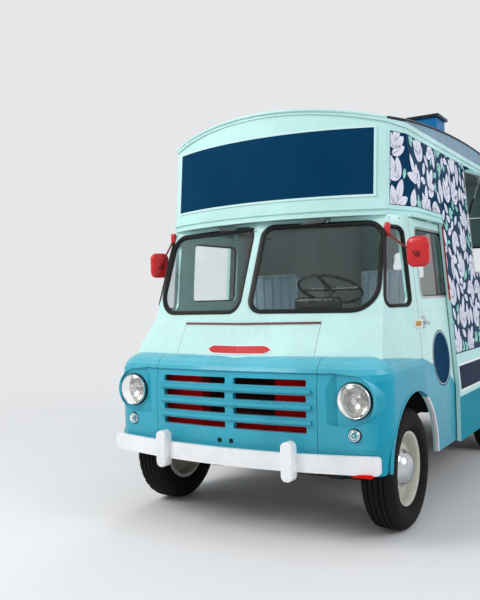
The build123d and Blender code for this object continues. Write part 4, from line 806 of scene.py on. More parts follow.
def door_handle():
    """Dish in the skin, and a bent grip on a boss and stem."""
    x = door_x(HANDLE_Z)
    grip = [(x + 0.024, HANDLE_Y + dy, HANDLE_Z + dz) for dy, dz in HANDLE_GRIP]
    return merge(
        lathe(HANDLE_DISH, (x, HANDLE_Y + 0.036, HANDLE_Z + 0.004), (1, 0, 0.08), 44),
        lathe(HANDLE_BOSS, (x, HANDLE_Y, HANDLE_Z), (1, 0, 0), 24),
        lathe(HANDLE_STEM, (x, HANDLE_Y, HANDLE_Z), (1, 0, 0), 20, False),
        tube(grip, 0.0088, 14))


bead_line = [(y, BEAD_Z) for y in spaced(-1.318, -0.632, 12)]
pair("door_bead", laid(door_face, bead_line, BEAD, False), "mint", "door_{}")
pair("door_arch_lip", arch_lip(), "white", "door_{}")
pair("door_handle", door_handle(), "chrome", "door_{}")


# Leaf pattern on the sides

LEAF = ((0.0, 0.16), (0.10, 0.52), (0.26, 0.88), (0.45, 1.0), (0.64, 0.90), (0.80, 0.66), (0.92, 0.34),
        (1.0, 0.0))
# Share of the stem, side of it, and angle away from it
SPRIG = ((0.16, 1, 44), (0.16, -1, 44), (0.42, 1, 38), (0.42, -1, 38), (0.68, 1, 0))
VEIN, LONE_LEAF = 0.0020, (0.09, 0.044)
EDGE, HATCH_EDGE = 0.004, 0.014
# Lowest and highest y, then z, of the panels that the pattern fills
PANEL = (SIDE_FRONT_Y + 0.003, REAR_Y - 0.060, PANEL_LOW + 0.008, PANEL_TOP - EDGE)
ROUND_HATCH = (
    (PANEL[0], HATCH_Y[0] - HATCH_EDGE, PANEL[2], PANEL[3]),
    (HATCH_Y[0] - HATCH_EDGE, HATCH_Y[1] + HATCH_EDGE, PANEL[2], HATCH_Z[0] - HATCH_EDGE),
    (HATCH_Y[1] + HATCH_EDGE, PANEL[1], PANEL[2], PANEL[3]),
)


def leaf(base, angle, length, width):
    """Two halves of a pointed leaf, parted by its vein."""
    along = Vector((cos(angle), sin(angle)))
    across = Vector((-along.y, along.x))
    parts = []
    for way in (1, -1):
        rim = [base + along * length * t + across * way * width / 2 * w for t, w in LEAF]
        parts.append([base + across * way * VEIN, *rim, base + along * length * 0.78])
    return parts


def leaf_spots(base, angle, length, width):
    """Circles that cover a leaf, for keeping leaves apart."""
    along = Vector((cos(angle), sin(angle)))
    return [(base + along * length * t, width / 2 * w) for t, w in ((0.25, 0.8), (0.5, 1.0), (0.8, 0.62))]


def grow_pattern(seed):
    """Large and small sprigs scattered without touching, as lists of leaf halves."""
    rng = Random(seed)
    taken, large, small = [], [], []

    def free(spots, gap):
        return all((p - q).length > r + s + gap for p, r in spots for q, s in taken)

    def sprig(root, heading, scale, out, width):
        stem = Vector((cos(heading), sin(heading)))
        fresh = []
        for share, way, spread in SPRIG:
            base = root + stem * 0.15 * scale * share
            turn = heading + way * radians(spread + rng.uniform(-5, 5))
            length = (0.118 if spread else 0.132) * scale * rng.uniform(0.94, 1.06)
            spots = leaf_spots(base, turn, length, width)
            if free(spots, 0.006):
                out.extend(leaf(base, turn, length, width))
                fresh += spots
        taken.extend(fresh)

    for row in range(9):
        for column in range(20):
            y = -1.55 + 0.185 * column + (0.09 if row % 2 else 0) + rng.uniform(-0.015, 0.015)
            z = 0.86 + 0.165 * row + rng.uniform(-0.015, 0.015)
            heading = radians(rng.choice((62, 118, 242, 298)) + rng.uniform(-14, 14))
            sprig(Vector((y, z)), heading, 1.0, large, 0.058)
    for _ in range(3600):
        root = Vector((rng.uniform(-1.56, 1.86), rng.uniform(0.86, 2.20)))
        heading = rng.uniform(0, 2 * pi)
        kind = rng.random()
        if kind < 0.45 and free([(root, 0.026)], 0.0):
            sprig(root, heading, 0.46, small, 0.026)
        elif free(leaf_spots(root, heading, *LONE_LEAF), 0.005):
            large.extend(leaf(root, heading, *LONE_LEAF))
            taken.extend(leaf_spots(root, heading, *LONE_LEAF))
    return large, small


def clipped(outlines, regions):
    """Outlines cut to the panels of the load body's side and of the header's."""
    header = (lambda p: p.x - HEADER_Y - PANEL_MARGIN - EDGE - (p.y - CAB_TOP_Z) * HEADER_RAKE,
              lambda p: SIDE_FRONT_Y - 0.002 - p.x,
              lambda p: p.y - HEADER_PANEL_LOW - EDGE,
              lambda p: PANEL_TOP - EDGE - p.y)

    def cut(part, tests):
        for test in tests:
            part = clip(part, test)
        return [part] if len(part) > 2 else []

    kept = []
    for outline in outlines:
        for y0, y1, z0, z1 in regions:
            kept += cut(outline, (lambda p: p.x - y0, lambda p: y1 - p.x,
                                  lambda p: p.y - z0, lambda p: z1 - p.y))
        kept += halves(cut(outline, header), lambda p: taper_x(*p) - side_x(p.y))
    return kept


for side, seed, regions in (("left", 11, ROUND_HATCH), ("right", 12, (PANEL,))):
    for name, look, leaves in zip(("leaves", "sprigs"), ("lilac", "aqua"), grow_pattern(seed)):
        pattern = film(clipped(leaves, regions), flank)
        piece(f"{name}_{side}", pattern if side == "left" else mirrored(pattern), look)


# Blank sign on the header

SIGN_X, SIGN_LOW, SIGN_TOP, SIGN_RIM = 0.664, 1.806, 2.205, 0.013
RIM_LOW, RIM_TOP = SIGN_LOW + SIGN_RIM, SIGN_TOP - SIGN_RIM


def sign_strip(across, upright):
    return plate(across, upright, header_face, -0.002, 0.0045)


columns = spaced(-SIGN_X, SIGN_X, 49)
piece("sign_panel", plate(columns, spaced(SIGN_LOW, SIGN_TOP, 3), header_face, -0.003, 0.003), "navy")
level_rims = [sign_strip(columns, edges) for edges in ((SIGN_LOW, RIM_LOW), (RIM_TOP, SIGN_TOP))]
upright_rim = sign_strip((SIGN_X - SIGN_RIM, SIGN_X), (RIM_LOW, RIM_TOP))
piece("sign_rim", merge(*level_rims, both(upright_rim)), "rim")


# Bare badge on the bonnet, and bare oval on each door

BADGE_Z = 0.986
LOZENGE = ((-0.206, 0.0), (-0.186, -0.017), (-0.165, -0.025), (0.165, -0.025), (0.186, -0.017),
           (0.206, 0.0), (0.186, 0.017), (0.165, 0.025), (-0.165, 0.025), (-0.186, 0.017))
OVAL_Y, OVAL_Z = -0.970, 0.876
OVAL_RING = ((0.002, 0.0006), (0.002, 0.0016), (-0.002, 0.0016), (-0.002, 0.0006))


def badge_face(x, z):
    return cab_face(x, z + BADGE_Z)


def lozenge(wide, high):
    """Two halves, since the bonnet bends along the centre line."""
    return halves([[Vector((x * wide, z * high)) for x, z in LOZENGE]], lambda p: p.x)


def oval(half_y, half_z):
    return [Vector((OVAL_Y + half_y * cos(a), OVAL_Z + half_z * sin(a)))
            for a in (2 * pi * i / 48 for i in range(48))]


piece("badge_rim", film(lozenge(1, 1), badge_face, -0.002, 0.003), "edge")
piece("badge_face", film(lozenge(0.965, 0.76), badge_face, -0.002, 0.0045), "red")
oval_halves = halves([oval(0.176, 0.167)], lambda p: p.y - BELT_Z)
pair("door_oval", film(oval_halves, door_face, -0.001, 0.0010), "navy", "door_{}")
pair("door_oval_ring", laid(door_face, oval(0.166, 0.157), OVAL_RING), "edge", "door_{}")


# Roof edging and seams

LIP_OUT = 0.008
ROOF_SEAM = ((0.010, -0.004), (0.008, 0.004), (0.0, 0.006), (-0.008, 0.004), (-0.010, -0.004))


def on_roof(x, y):
    return Vector((x, y, roof_z(x, y)))


def front_rim():
    """Points along the top edge of the roof's front."""
    half = HEADER_X + LIP_OUT
    edge_y = HEADER_Y - LIP_OUT - HEADER_BOW + (EAVE_Z + 0.026 - CAB_TOP_Z) * HEADER_RAKE
    return [on_roof(x, edge_y + bow(x, half, HEADER_BOW)) for x in spaced(-half, half, 41)]


def side_rim():
    """Points along the top edge of the roof's left side."""
    return [on_roof(min(taper_x(y, EAVE_Z), EAVE_X) + LIP_OUT, y)
            for y in (-1.478, -1.455, -1.430, *spaced(-1.40, 1.904, 45))]


def rim_tube(rim, shift, radius, sides):
    return tube([p + Vector(shift) for p in rim], radius, sides)


def roof_seam(y):
    line = [on_roof(x, y) for x in spaced(-EAVE_X + 0.015, EAVE_X - 0.015, 31)]
    return sweep(line, [Vector((0, 0, 1))] * len(line), ROOF_SEAM, False)


piece("roof_lip_front", rim_tube(front_rim(), (0, 0.003, -0.004), 0.008, 10), "mint")
piece("roof_lip_sides", both(rim_tube(side_rim(), (-0.003, 0, -0.006), 0.0085, 10)), "lip")
piece("roof_lip_tops", both(rim_tube(side_rim(), (-0.008, 0, 0.001), 0.005, 8)), "steel")
piece("roof_seams", merge(*[roof_seam(y) for y in (-1.05, -0.50, 0.60, 1.15, 1.65)]), "roof")


# Wipers, screws and towing bolts

WIPER_TOP_Z, WIPER_ARM_Z, WIPER_BLADE_Z = 1.690, 1.672, 1.668
WIPER_BOSS = ((0, 0.0001), (0, 0.016), (0.010, 0.015), (0.014, 0.010), (0.034, 0.009), (0.038, 0.006),
              (0.039, 0.0001))
WIPER_BLADE = ((0.004, -0.010), (0.0045, 0.002), (0.001, 0.006), (-0.001, 0.006), (-0.0045, 0.002),
               (-0.004, -0.010))
SCREW = ((-0.001, 0.0001), (-0.001, 0.006), (0.0015, 0.0051), (0.003, 0.0024), (0.0033, 0.0001))
BOLT = ((-0.002, 0.0001), (-0.002, 0.013), (0.003, 0.0125), (0.004, 0.009), (0.001, 0.008), (0.001, 0.0001))


def wiper(x, tip_x):
    """Two-link wiper parked along the top of a windscreen, and its blade."""
    root = cab_face(x, WIPER_TOP_Z)
    middle = cab_face((x + tip_x) / 2, WIPER_ARM_Z) + Vector((0, -0.022, 0))
    way = 1 if tip_x > x else -1
    boss = lathe(WIPER_BOSS, root, (0, -1, 0.3), 20)
    knob = root + Vector((0, -0.032, 0.009))
    arm = tube([knob, knob + Vector((way * 0.05, -0.006, -0.006)), middle], 0.0042, 8)
    link = tube([knob + Vector((way * 0.012, 0, -0.016)), middle + Vector((way * 0.02, 0, -0.004))],
                0.0032, 8)
    start, tip = (cab_face(end, WIPER_BLADE_Z) + Vector((0, -0.026, 0)) for end in (x + way * 0.015, tip_x))
    line = [start + (tip - start) * t for t in spaced(0, 1, 9)]
    blade = sweep(line, [Vector((0, -1, 0.3)).normalized()] * len(line), WIPER_BLADE, False)
    return merge(boss, merge(arm, link)), blade


arms, blades = zip(wiper(-0.306, -0.020), wiper(0.392, 0.105))
piece("wiper_arms", merge(*arms), "steel")
piece("wiper_blades", merge(*blades), "rubber")
screws = [lathe(SCREW, *on(quarter_face, y, 1.688), 12) for y in (-1.504, -1.441)]
piece("cab_screws", both(merge(*screws)), "steel")
for letter, x in (("a", -0.066), ("b", 0.008)):
    piece(f"tow_bolt_{letter}", lathe(BOLT, *on(nose_face, x, 0.506), 24), "rubber")


# Inside the grille

CORE_X, CORE_FRONT_Y, CORE_BACK_Y = 0.300, -1.858, -1.802
CORE_LOW, CORE_TOP, CORE_CHEEK = 0.632, 0.848, 0.012
TANK_LOWS, TANK_HIGH = (0.845, 0.595), 0.040
FIN_HALF, FLAT_TUBE_HALF = 0.0022, 0.0015
SHEET_LOW, SHEET_TOP, APRON_TOP = 0.498, 0.872, 0.585
# Lowest and highest x, then y, of the upright sheets on the left behind the grille
SHEETS = ((0.226, 0.500, -1.962, -1.952), (0.226, 0.236, -1.962, -1.890), (0.488, 0.500, -2.005, -1.955))


def radiator():
    """Tanks above and below a core of thin upright fins and flat tubes between two cheeks."""
    inside = CORE_X - CORE_CHEEK
    parts = [brick((-CORE_X, CORE_FRONT_Y - 0.002, z), (CORE_X, CORE_BACK_Y + 0.002, z + TANK_HIGH), 0.010)
             for z in TANK_LOWS]
    parts += [brick((x, CORE_FRONT_Y, CORE_LOW - 0.002), (x + CORE_CHEEK, CORE_BACK_Y, CORE_TOP + 0.002))
              for x in (-CORE_X, inside)]
    for x in spaced(-0.283, 0.283, 52):
        parts.append(brick((x - FIN_HALF, CORE_FRONT_Y, CORE_LOW), (x + FIN_HALF, CORE_BACK_Y, CORE_TOP),
                           0.0009, 1))
    for z in spaced(0.645, 0.835, 17):
        parts.append(brick((-inside, CORE_FRONT_Y + 0.008, z - FLAT_TUBE_HALF),
                           (inside, CORE_BACK_Y - 0.006, z + FLAT_TUBE_HALF), 0.001, 1))
    return merge(*parts)


def baffles():
    """Upright sheets on both sides, and an apron with a shelf to the radiator between them."""
    upright = merge(*[brick((x0, y0, SHEET_LOW), (x1, y1, SHEET_TOP)) for x0, x1, y0, y1 in SHEETS])
    apron = brick((-0.230, -1.964, SHEET_LOW), (0.230, -1.954, APRON_TOP))
    shelf = brick((-CORE_X, -1.960, APRON_TOP - 0.005), (CORE_X, CORE_FRONT_Y + 0.002, APRON_TOP + 0.015))
    return merge(both(upright), apron, shelf)


piece("radiator_fins", radiator(), "core", sharp=25, replaces=("radiator",))
piece("grille_baffles", baffles(), "grille_red", sharp=25)


# Headlamps and side lamps

FRONT = (0, -1, 0)
LAMP_RING = ((-0.002, 0.0805), (-0.002, 0.0895), (0.014, 0.0900), (0.020, 0.0895), (0.025, 0.0870),
             (0.0265, 0.0845), (0.0245, 0.0820))
LAMP_GASKET = ((-0.004, 0.0860), (-0.004, 0.0940), (0.006, 0.0945), (0.010, 0.0925), (0.011, 0.0860))
LAMP_BOWL = ((0.022, 0.0800), (0.016, 0.0765), (0.002, 0.066), (-0.014, 0.050), (-0.028, 0.030),
             (-0.033, 0.014), (-0.034, 0.0001), (-0.037, 0.0001), (-0.037, 0.016), (-0.031, 0.034),
             (-0.016, 0.054), (0.0, 0.070), (0.014, 0.0800))
LAMP_BULB = ((-0.034, 0.010), (-0.006, 0.010), (0.006, 0.009), (0.012, 0.006), (0.014, 0.0001))
BULB_SHIELD = ((0.016, 0.0001), (0.016, 0.017), (0.013, 0.018), (0.012, 0.0001))
SMALL_RING = ((-0.001, 0.024), (-0.001, 0.0315), (0.010, 0.0318), (0.0135, 0.0295), (0.014, 0.0265),
              (0.012, 0.024))
SMALL_GASKET = ((-0.003, 0.030), (-0.003, 0.0355), (0.005, 0.0355), (0.0075, 0.0335), (0.008, 0.030))
SMALL_BOWL = ((0.010, 0.0245), (0.004, 0.022), (-0.006, 0.014), (-0.010, 0.0001), (-0.012, 0.0001),
              (-0.008, 0.018), (0.002, 0.0245))
SMALL_BULB = ((-0.010, 0.004), (0.006, 0.005), (0.012, 0.004), (0.014, 0.0001))


def fluted_lens(centre, radius, apex, ball, pitch):
    """Domed glass: smooth outside, upright flutes inside."""
    rings, segments = 14, 72
    verts = []
    for layer in (0, 1):
        for i in range(rings + 1):
            r = max(radius * i / rings, 0.0004)
            for k in range(segments):
                a = 2 * pi * k / segments
                x, z = r * cos(a), r * sin(a)
                out = apex - ball + (ball * ball - r * r) ** 0.5
                if layer:
                    out -= 0.0035 + 0.0007 * (1 + cos(2 * pi * x / pitch))
                verts.append(Vector(centre) + Vector((x, -out, z)))
    count = (rings + 1) * segments
    faces = grid_faces(rings + 1, segments, False, True)
    faces += [tuple(count + i for i in reversed(f)) for f in faces]
    outer, inner = rings * segments, count + rings * segments
    for k in range(segments):
        j = (k + 1) % segments
        faces.append((outer + k, outer + j, inner + j, inner + k))
    faces += [tuple(range(segments)), tuple(reversed(range(count, count + segments)))]
    return verts, faces


rings = merge(lathe(LAMP_RING, HEADLAMP, FRONT, 96), lathe(SMALL_RING, SIDE_LAMP, FRONT, 56))
gaskets = merge(lathe(LAMP_GASKET, HEADLAMP, FRONT, 72), lathe(SMALL_GASKET, SIDE_LAMP, FRONT, 48))
bowls = merge(lathe(LAMP_BOWL, HEADLAMP, FRONT, 72), lathe(LAMP_BULB, HEADLAMP, FRONT, 24, False),
              lathe(BULB_SHIELD, HEADLAMP, FRONT, 32), lathe(SMALL_BOWL, SIDE_LAMP, FRONT, 40),
              lathe(SMALL_BULB, SIDE_LAMP, FRONT, 16, False))
lenses = merge(fluted_lens(HEADLAMP, 0.0835, 0.044, 0.187, 0.0105),
               fluted_lens(SIDE_LAMP, 0.0255, 0.034, 0.0262, 0.0060))
piece("lamp_rings", both(rings), "chrome", slot="lamp_chrome", replaces=("front_lamps",))
piece("lamp_gaskets", both(gaskets), "rubber")
piece("lamp_bowls", both(bowls), "bowl")
piece("lamp_lenses", both(lenses), "lens", sharp=60)


# Repeater lamps on the cab's corners, and tail lamps

REPEATER_Y, REPEATER_Z = -1.394, 1.102
TAIL_X, RED_TAIL_Z, AMBER_TAIL_Z = 0.740, 0.725, 0.825
TAIL_RING = ((-0.001, 0.033), (-0.001, 0.040), (0.012, 0.0400), (0.017, 0.037), (0.018, 0.034),
             (0.016, 0.033))


def tail_lens(centre):
    """Domed lens with ribs round it."""
    step = 0.0033
    ribs = [(0.030 - (i * step) ** 2 * 11 - (0.0008 if i % 2 else 0), i * step) for i in range(10, -1, -1)]
    return lathe([(0.0, 0.033), *ribs, (0.0, 0.0001)], centre, (0, 1, 0), 48)


repeater_spot = Matrix.Translation((door_x(REPEATER_Z) + 0.008, REPEATER_Y, REPEATER_Z))
repeater_turn = repeater_spot @ Matrix.Rotation(radians(-32), 4, "Z")
repeater = merge(moved(brick((-0.016, -0.038, -0.025), (0.010, 0.036, 0.025), 0.007, 3), repeater_turn),
                 moved(brick((-0.018, -0.030, -0.022), (0.002, 0.034, 0.022), 0.004), repeater_spot))
repeater_lens = moved(brick((0.004, -0.021, -0.014), (0.0145, 0.021, 0.014), 0.004, 3), repeater_turn)
piece("repeater_housings", both(repeater), "edge", sharp=50)
piece("repeater_lenses", both(repeater_lens), "tan", sharp=50)
red_tail, amber_tail = ((TAIL_X, REAR_Y, z) for z in (RED_TAIL_Z, AMBER_TAIL_Z))
tail_rings = [lathe(TAIL_RING, centre, (0, 1, 0), 48) for centre in (red_tail, amber_tail)]
piece("tail_rings", both(merge(*tail_rings)), "chrome", replaces=("tail_lamps",))
piece("tail_lens_red", both(tail_lens(red_tail)), "ruby", sharp=60)
piece("tail_lens_amber", both(tail_lens(amber_tail)), "amber", sharp=60)


# Wheels and tyres

RIM = ((-0.068, 0.1777), (-0.0685, 0.199), (-0.066, 0.2005), (-0.0625, 0.199), (-0.059, 0.1905),
       (-0.040, 0.1885), (0.040, 0.1885), (0.059, 0.1905), (0.0625, 0.199), (0.066, 0.2005), (0.0685, 0.199),
       (0.067, 0.1860), (0.060, 0.1790), (0.030, 0.1760), (0.014, 0.1735), (0.007, 0.164), (0.006, 0.150),
       (0.012, 0.140), (0.024, 0.131), (0.031, 0.122), (0.034, 0.110), (0.034, 0.100), (0.028, 0.096),
       (0.020, 0.040), (-0.022, 0.030), (-0.025, 0.062), (0.016, 0.066), (0.013, 0.120), (-0.006, 0.146),
       (-0.003, 0.170))
CAP = ((0.030, 0.095), (0.0345, 0.099), (0.038, 0.0985), (0.041, 0.095), (0.050, 0.0905), (0.060, 0.0835),
       (0.070, 0.074), (0.079, 0.0615), (0.086, 0.047), (0.0905, 0.032), (0.0932, 0.016), (0.0938, 0.0001),
       (0.028, 0.0001))
VALVE = ((0, 0.005), (0.024, 0.004), (0.030, 0.003), (0.031, 0.0001))
TREAD = ((0.056, 0.190), (0.060, 0.204), (0.072, 0.213), (0.0830, 0.226), (0.0870, 0.2320), (0.0890, 0.2340),
         (0.0895, 0.2380), (0.0885, 0.2400), (0.0905, 0.2520), (0.0920, 0.262), (0.0912, 0.280),
         (0.0870, 0.294), (0.0820, 0.303), (0.0760, 0.310), (0.0660, 0.3195), (0.0550, 0.3228),
         (0.0470, 0.3240), (0.0455, 0.3160), (0.0400, 0.3160), (0.0385, 0.3244), (0.0200, 0.3250),
         (0.0185, 0.3170), (0.0125, 0.3170), (0.0110, 0.3250))


def tyre_shape(centre):
    """Tyre with four grooves round it and notched shoulders and ribs."""
    profile = [(-x, r) for x, r in TREAD] + [(x, r) for x, r in reversed(TREAD)]
    verts, segments = [], 132
    for i in range(segments):
        a = 2 * pi * i / segments
        for x, r in profile:
            notch = 0.048 < abs(x) < 0.083 and r > 0.30 and i % 4 == (0 if x > 0 else 2)
            sipe = abs(x) < 0.039 and r > 0.320 and i % 6 == (1 if x > 0 else 4)
            r -= 0.006 if notch else 0.004 if sipe else 0.0
            verts.append(Vector(centre) + Vector((x, r * cos(a), r * sin(a))))
    return verts, grid_faces(segments, len(profile), True, True)


def add_wheel(corner, way, axle_y):
    """Rim with its valve, hub cap and tyre. way is 1 on the left and -1 on the right."""
    body, centre, along = "wheel_" + corner, (way * WHEEL_X, axle_y, TYRE_R), (way, 0, 0)
    valve = lathe(VALVE, (way * (WHEEL_X + 0.020), axle_y + 0.158, TYRE_R), (way, 0.3, 0), 12, False)
    piece("rim_" + corner, merge(lathe(RIM, centre, along, 96), valve), "cream", body,
          replaces=("wheel_" + corner,))
    piece("hub_cap_" + corner, lathe(CAP, centre, along, 72), "chrome", body)
    piece("tread_" + corner, tyre_shape(centre), "tyre", body, sharp=28, replaces=("tyre_" + corner,))


for end, axle_y in (("front", FRONT_AXLE_Y), ("rear", REAR_AXLE_Y)):
    for side, way in (("left", 1), ("right", -1)):
        add_wheel(f"{end}_{side}", way, axle_y)


# Mirrors and bumper

CROWN = ((0.015, 0.965), (0.013, 1.0), (-0.001, 1.0), (-0.007, 0.975), (-0.012, 0.92), (-0.016, 0.82),
         (-0.0190, 0.66), (-0.0208, 0.44), (-0.0215, 0.20), (-0.0217, 0.001))
MIRROR_X, MIRROR_Z = 0.059, 0.080
LEFT_MIRROR, LEFT_FOOT = (0.925, -1.650, 1.485), (0.7266, -1.5483, 1.592)
RIGHT_MIRROR, RIGHT_FOOT, RIGHT_TURN = (-0.818, -1.567, 1.494), (-0.7241, -1.5347, 1.630), radians(52)
MIRROR_RIM = ((0.0045, -0.002), (0.0040, 0.003), (0.0010, 0.0035), (-0.002, 0.002), (-0.002, -0.002))
MIRROR_CLAMP = ((-0.004, 0.0001), (-0.004, 0.017), (0.006, 0.016), (0.012, 0.012), (0.014, 0.0001))
CLAMP_Z = -0.012


def mirror_back(x, z):
    """Plane that the mirror's glass lies on, which faces the rear."""
    return Vector((-x, CROWN[0][0], z))


def mirror_parts(place, foot):
    """Crowned head with its glass behind, and the arm and clamp that carry it in front."""
    foot = Vector(foot)
    shell = rounded(box_outline(-MIRROR_X, MIRROR_X, -MIRROR_Z, MIRROR_Z), (0.038,) * 4, 9)
    verts = [Vector((p.x * s, y, p.y * s)) for y, s in CROWN for p in shell]
    faces = [tuple(reversed(f)) for f in grid_faces(len(CROWN), len(shell), False, True)]
    head = verts, faces + [tuple(range(len(shell)))]
    half_x, half_z = MIRROR_X * 0.87, MIRROR_Z * 0.9
    inner = rounded(box_outline(-half_x, half_x, -half_z, half_z), (0.030,) * 4)
    pane = film([inner], mirror_back, -0.001, 0.0015)
    rim = laid(mirror_back, inner, MIRROR_RIM)
    clamp = lathe(MIRROR_CLAMP, (0.0, -0.0205, CLAMP_Z), FRONT, 24)
    end = place @ Vector((0.0, -0.030, CLAMP_Z))
    start = foot + Vector((0, -0.014, 0.010))
    middle = start + (end - start) * 0.5 + Vector((0, -0.008, -0.004))
    arm = tube([foot, start, middle, end], 0.0055, 10)
    bracket = brick(foot + Vector((-0.014, -0.012, -0.010)), foot + Vector((0.014, 0.012, 0.066)), 0.004)
    return moved(head, place), moved(pane, place), moved(rim, place), merge(arm, moved(clamp, place)), bracket


left_mirror = mirror_parts(Matrix.Translation(LEFT_MIRROR), LEFT_FOOT)
right_place = Matrix.Translation(RIGHT_MIRROR) @ Matrix.Rotation(RIGHT_TURN, 4, "Z")
heads, panes, rims, arms, brackets = zip(left_mirror, mirror_parts(right_place, RIGHT_FOOT))
piece("mirror_heads", merge(*heads, *brackets), "red", sharp=50, replaces=("mirrors",))
piece("mirror_panes", merge(*panes), "chrome")
piece("mirror_rims", merge(*rims), "plastic")
piece("mirror_arms", merge(*arms), "clamp")
piece("bumper_bracket", brick((0.690, -2.050, 0.381), (0.795, -1.985, 0.398), 0.004), "grille_red", sharp=25)


# Seats

SEAT_X, PAD_HALF, WELT_HALF = 0.430, 0.197, 0.190
CUSHION_Y, CUSHION_Z = (-1.103, -0.762), (0.812, 0.918)
BACK_Y, BACK_Z = (-0.742, -0.658), (0.872, 1.437)
SEAT_BOX_Y, POST_WIDE = (-1.100, -0.660), 0.030
CHANNELS = spaced(SEAT_X - 0.135, SEAT_X + 0.135, 5)
SEWN, CHANNEL_DEEP, BACK_CHANNEL_DEEP, WAIST_DEEP = 0.006, 0.008, 0.009, 0.004
PAD_VOXEL, PAD_PUSH = 0.008, 0.010


def evaluated(obj):
    return obj.evaluated_get(bpy.context.evaluated_depsgraph_get())


def swell(obj):
    """Blow a pad up by a cloth simulation, in which no point moves further than PAD_PUSH."""
    rest = [v.co.copy() for v in obj.data.vertices]
    cloth = obj.modifiers.new("cloth", "CLOTH")
    cloth.settings.use_pressure = True
    cloth.settings.uniform_pressure_force = 4
    cloth.settings.effector_weights.gravity = 0
    for step in range(1, 21):
        bpy.context.scene.frame_set(step)
    swollen = [v.co.copy() for v in evaluated(obj).data.vertices]
    for vertex, home, now in zip(obj.data.vertices, rest, swollen):
        push = now - home
        vertex.co = home + push * min(1.0, PAD_PUSH / max(push.length, 1e-6))
    obj.modifiers.remove(cloth)


def padded(name, low, high, groove):
    """Cushion: a rounded block, remeshed, swollen by a cloth simulation, then sewn into channels."""
    start = make(name + "_start", *brick(low, high, 0.022, 4), "vinyl")
    remesh = start.modifiers.new("remesh", "REMESH")
    remesh.mode, remesh.voxel_size = "VOXEL", PAD_VOXEL
    mesh = bpy.data.meshes.new_from_object(evaluated(start))
    bpy.data.objects.remove(start)
    obj = bpy.data.objects.new(name, mesh)
    bpy.context.scene.collection.objects.link(obj)
    swell(obj)
    smooth = obj.modifiers.new("smooth", "SUBSURF")
    smooth.levels = smooth.render_levels = 1
    fine = bpy.data.meshes.new_from_object(evaluated(obj))
    bpy.data.objects.remove(obj)
    points = [v.co - HOME for v in fine.vertices]
    return [p + groove(p) for p in points], [tuple(p.vertices) for p in fine.polygons]


def dip(distance, depth):
    """Depth of a sewn line at a distance from it."""
    return depth * exp(-(distance / SEWN) ** 2)


def channels(p, depth, share):
    """Depth of the sewn channels at a point, on a face where share goes from 0 to 1."""
    return sum(dip(p.x - x, depth) for x in CHANNELS) * max(0.0, min(1.0, share))


def base_channels(p):
    """Lines sewn from back to front over the cushion's top, and one round its side."""
    down = channels(p, CHANNEL_DEEP, (p.z - 0.87) / 0.03) if -1.085 < p.y < -0.775 else 0.0
    outward = Vector((p.x - SEAT_X, p.y + 0.880, 0)).normalized()
    return Vector((0, 0, -down)) - outward * dip(p.z - 0.860, WAIST_DEEP)


def back_channels(p):
    """Upright lines on the front of the backrest, and one round its edge."""
    inwards = channels(p, BACK_CHANNEL_DEEP, (-0.700 - p.y) / 0.03) if 0.93 < p.z < 1.415 else 0.0
    outward = Vector((p.x - SEAT_X, 0, p.z - 1.155)).normalized()
    return Vector((0, inwards, 0)) - outward * dip(p.y + 0.700, WAIST_DEEP)


def welt(shape, low, high, place):
    """Piping round a face of a pad, laid on its skin."""
    tree = BVHTree.FromPolygons(*shape)
    outline = rounded(box_outline(SEAT_X - WELT_HALF, SEAT_X + WELT_HALF, low, high), (0.040,) * 4, 6)
    line = [tree.find_nearest(place(p.x, p.y))[0] for p in densify(outline, 0.03)]
    return tube(line, 0.0042, 8, True)


def seat_box():
    """Box and frame under the cushion, and two posts behind the backrest."""
    front, back = SEAT_BOX_Y
    box = brick((SEAT_X - 0.195, front, 0.595), (SEAT_X + 0.195, back, 0.780), 0.008)
    rim = brick((SEAT_X - 0.203, front - 0.008, 0.776), (SEAT_X + 0.203, back + 0.008, CUSHION_Z[0]), 0.010)
    posts = [brick((x, back - 0.008, 0.78), (x + POST_WIDE, back + 0.008, 1.20), 0.004)
             for x in (SEAT_X - WELT_HALF, SEAT_X + WELT_HALF - POST_WIDE)]
    return merge(box, rim, *posts)


def pad(name, y, z, groove):
    return padded(name, (SEAT_X - PAD_HALF, y[0], z[0]), (SEAT_X + PAD_HALF, y[1], z[1]), groove)


cushion = pad("cushion", CUSHION_Y, CUSHION_Z, base_channels)
backrest = pad("backrest", BACK_Y, BACK_Z, back_channels)
cushion_welt = welt(cushion, CUSHION_Y[0] + 0.005, CUSHION_Y[1] - 0.004,
                    lambda x, y: Vector((x, y, CUSHION_Z[1] - 0.003)))
back_welt = welt(backrest, BACK_Z[0] + 0.010, BACK_Z[1] - 0.009,
                 lambda x, z: Vector((x, BACK_Y[0] + 0.002, z)))
for name, shape in (("seat_cushion", cushion), ("seat_backrest", backrest)):
    for obj in pair(name, shape, "vinyl", sharp=70, replaces=("seats",)):
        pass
pair("seat_piping", merge(cushion_welt, back_welt), "piping")
pair("seat_base", seat_box(), "hump", sharp=25)


# Engine cover, controls and dials

COVER_X, COVER_Z = 0.224, 1.000
BAND_YS, BAND_OUT = (-1.30, -0.86), 0.004
PEDAL_XS = (0.24, 0.335, 0.43)
LEVER_PATH = ((0.255, -1.36, 0.60), (0.262, -1.35, 0.80), (0.275, -1.31, 0.97))
LEVER_KNOB = ((-0.018, 0.0001), (-0.016, 0.010), (-0.006, 0.019), (0.006, 0.020), (0.016, 0.012),
              (0.020, 0.0001))
DIAL_Y, DIAL_Z, DIAL_R = -1.560, 1.208, 0.042
HORN_BUTTON = ((0.010, 0.0001), (0.012, 0.030), (0.019, 0.029), (0.024, 0.018), (0.025, 0.0001))


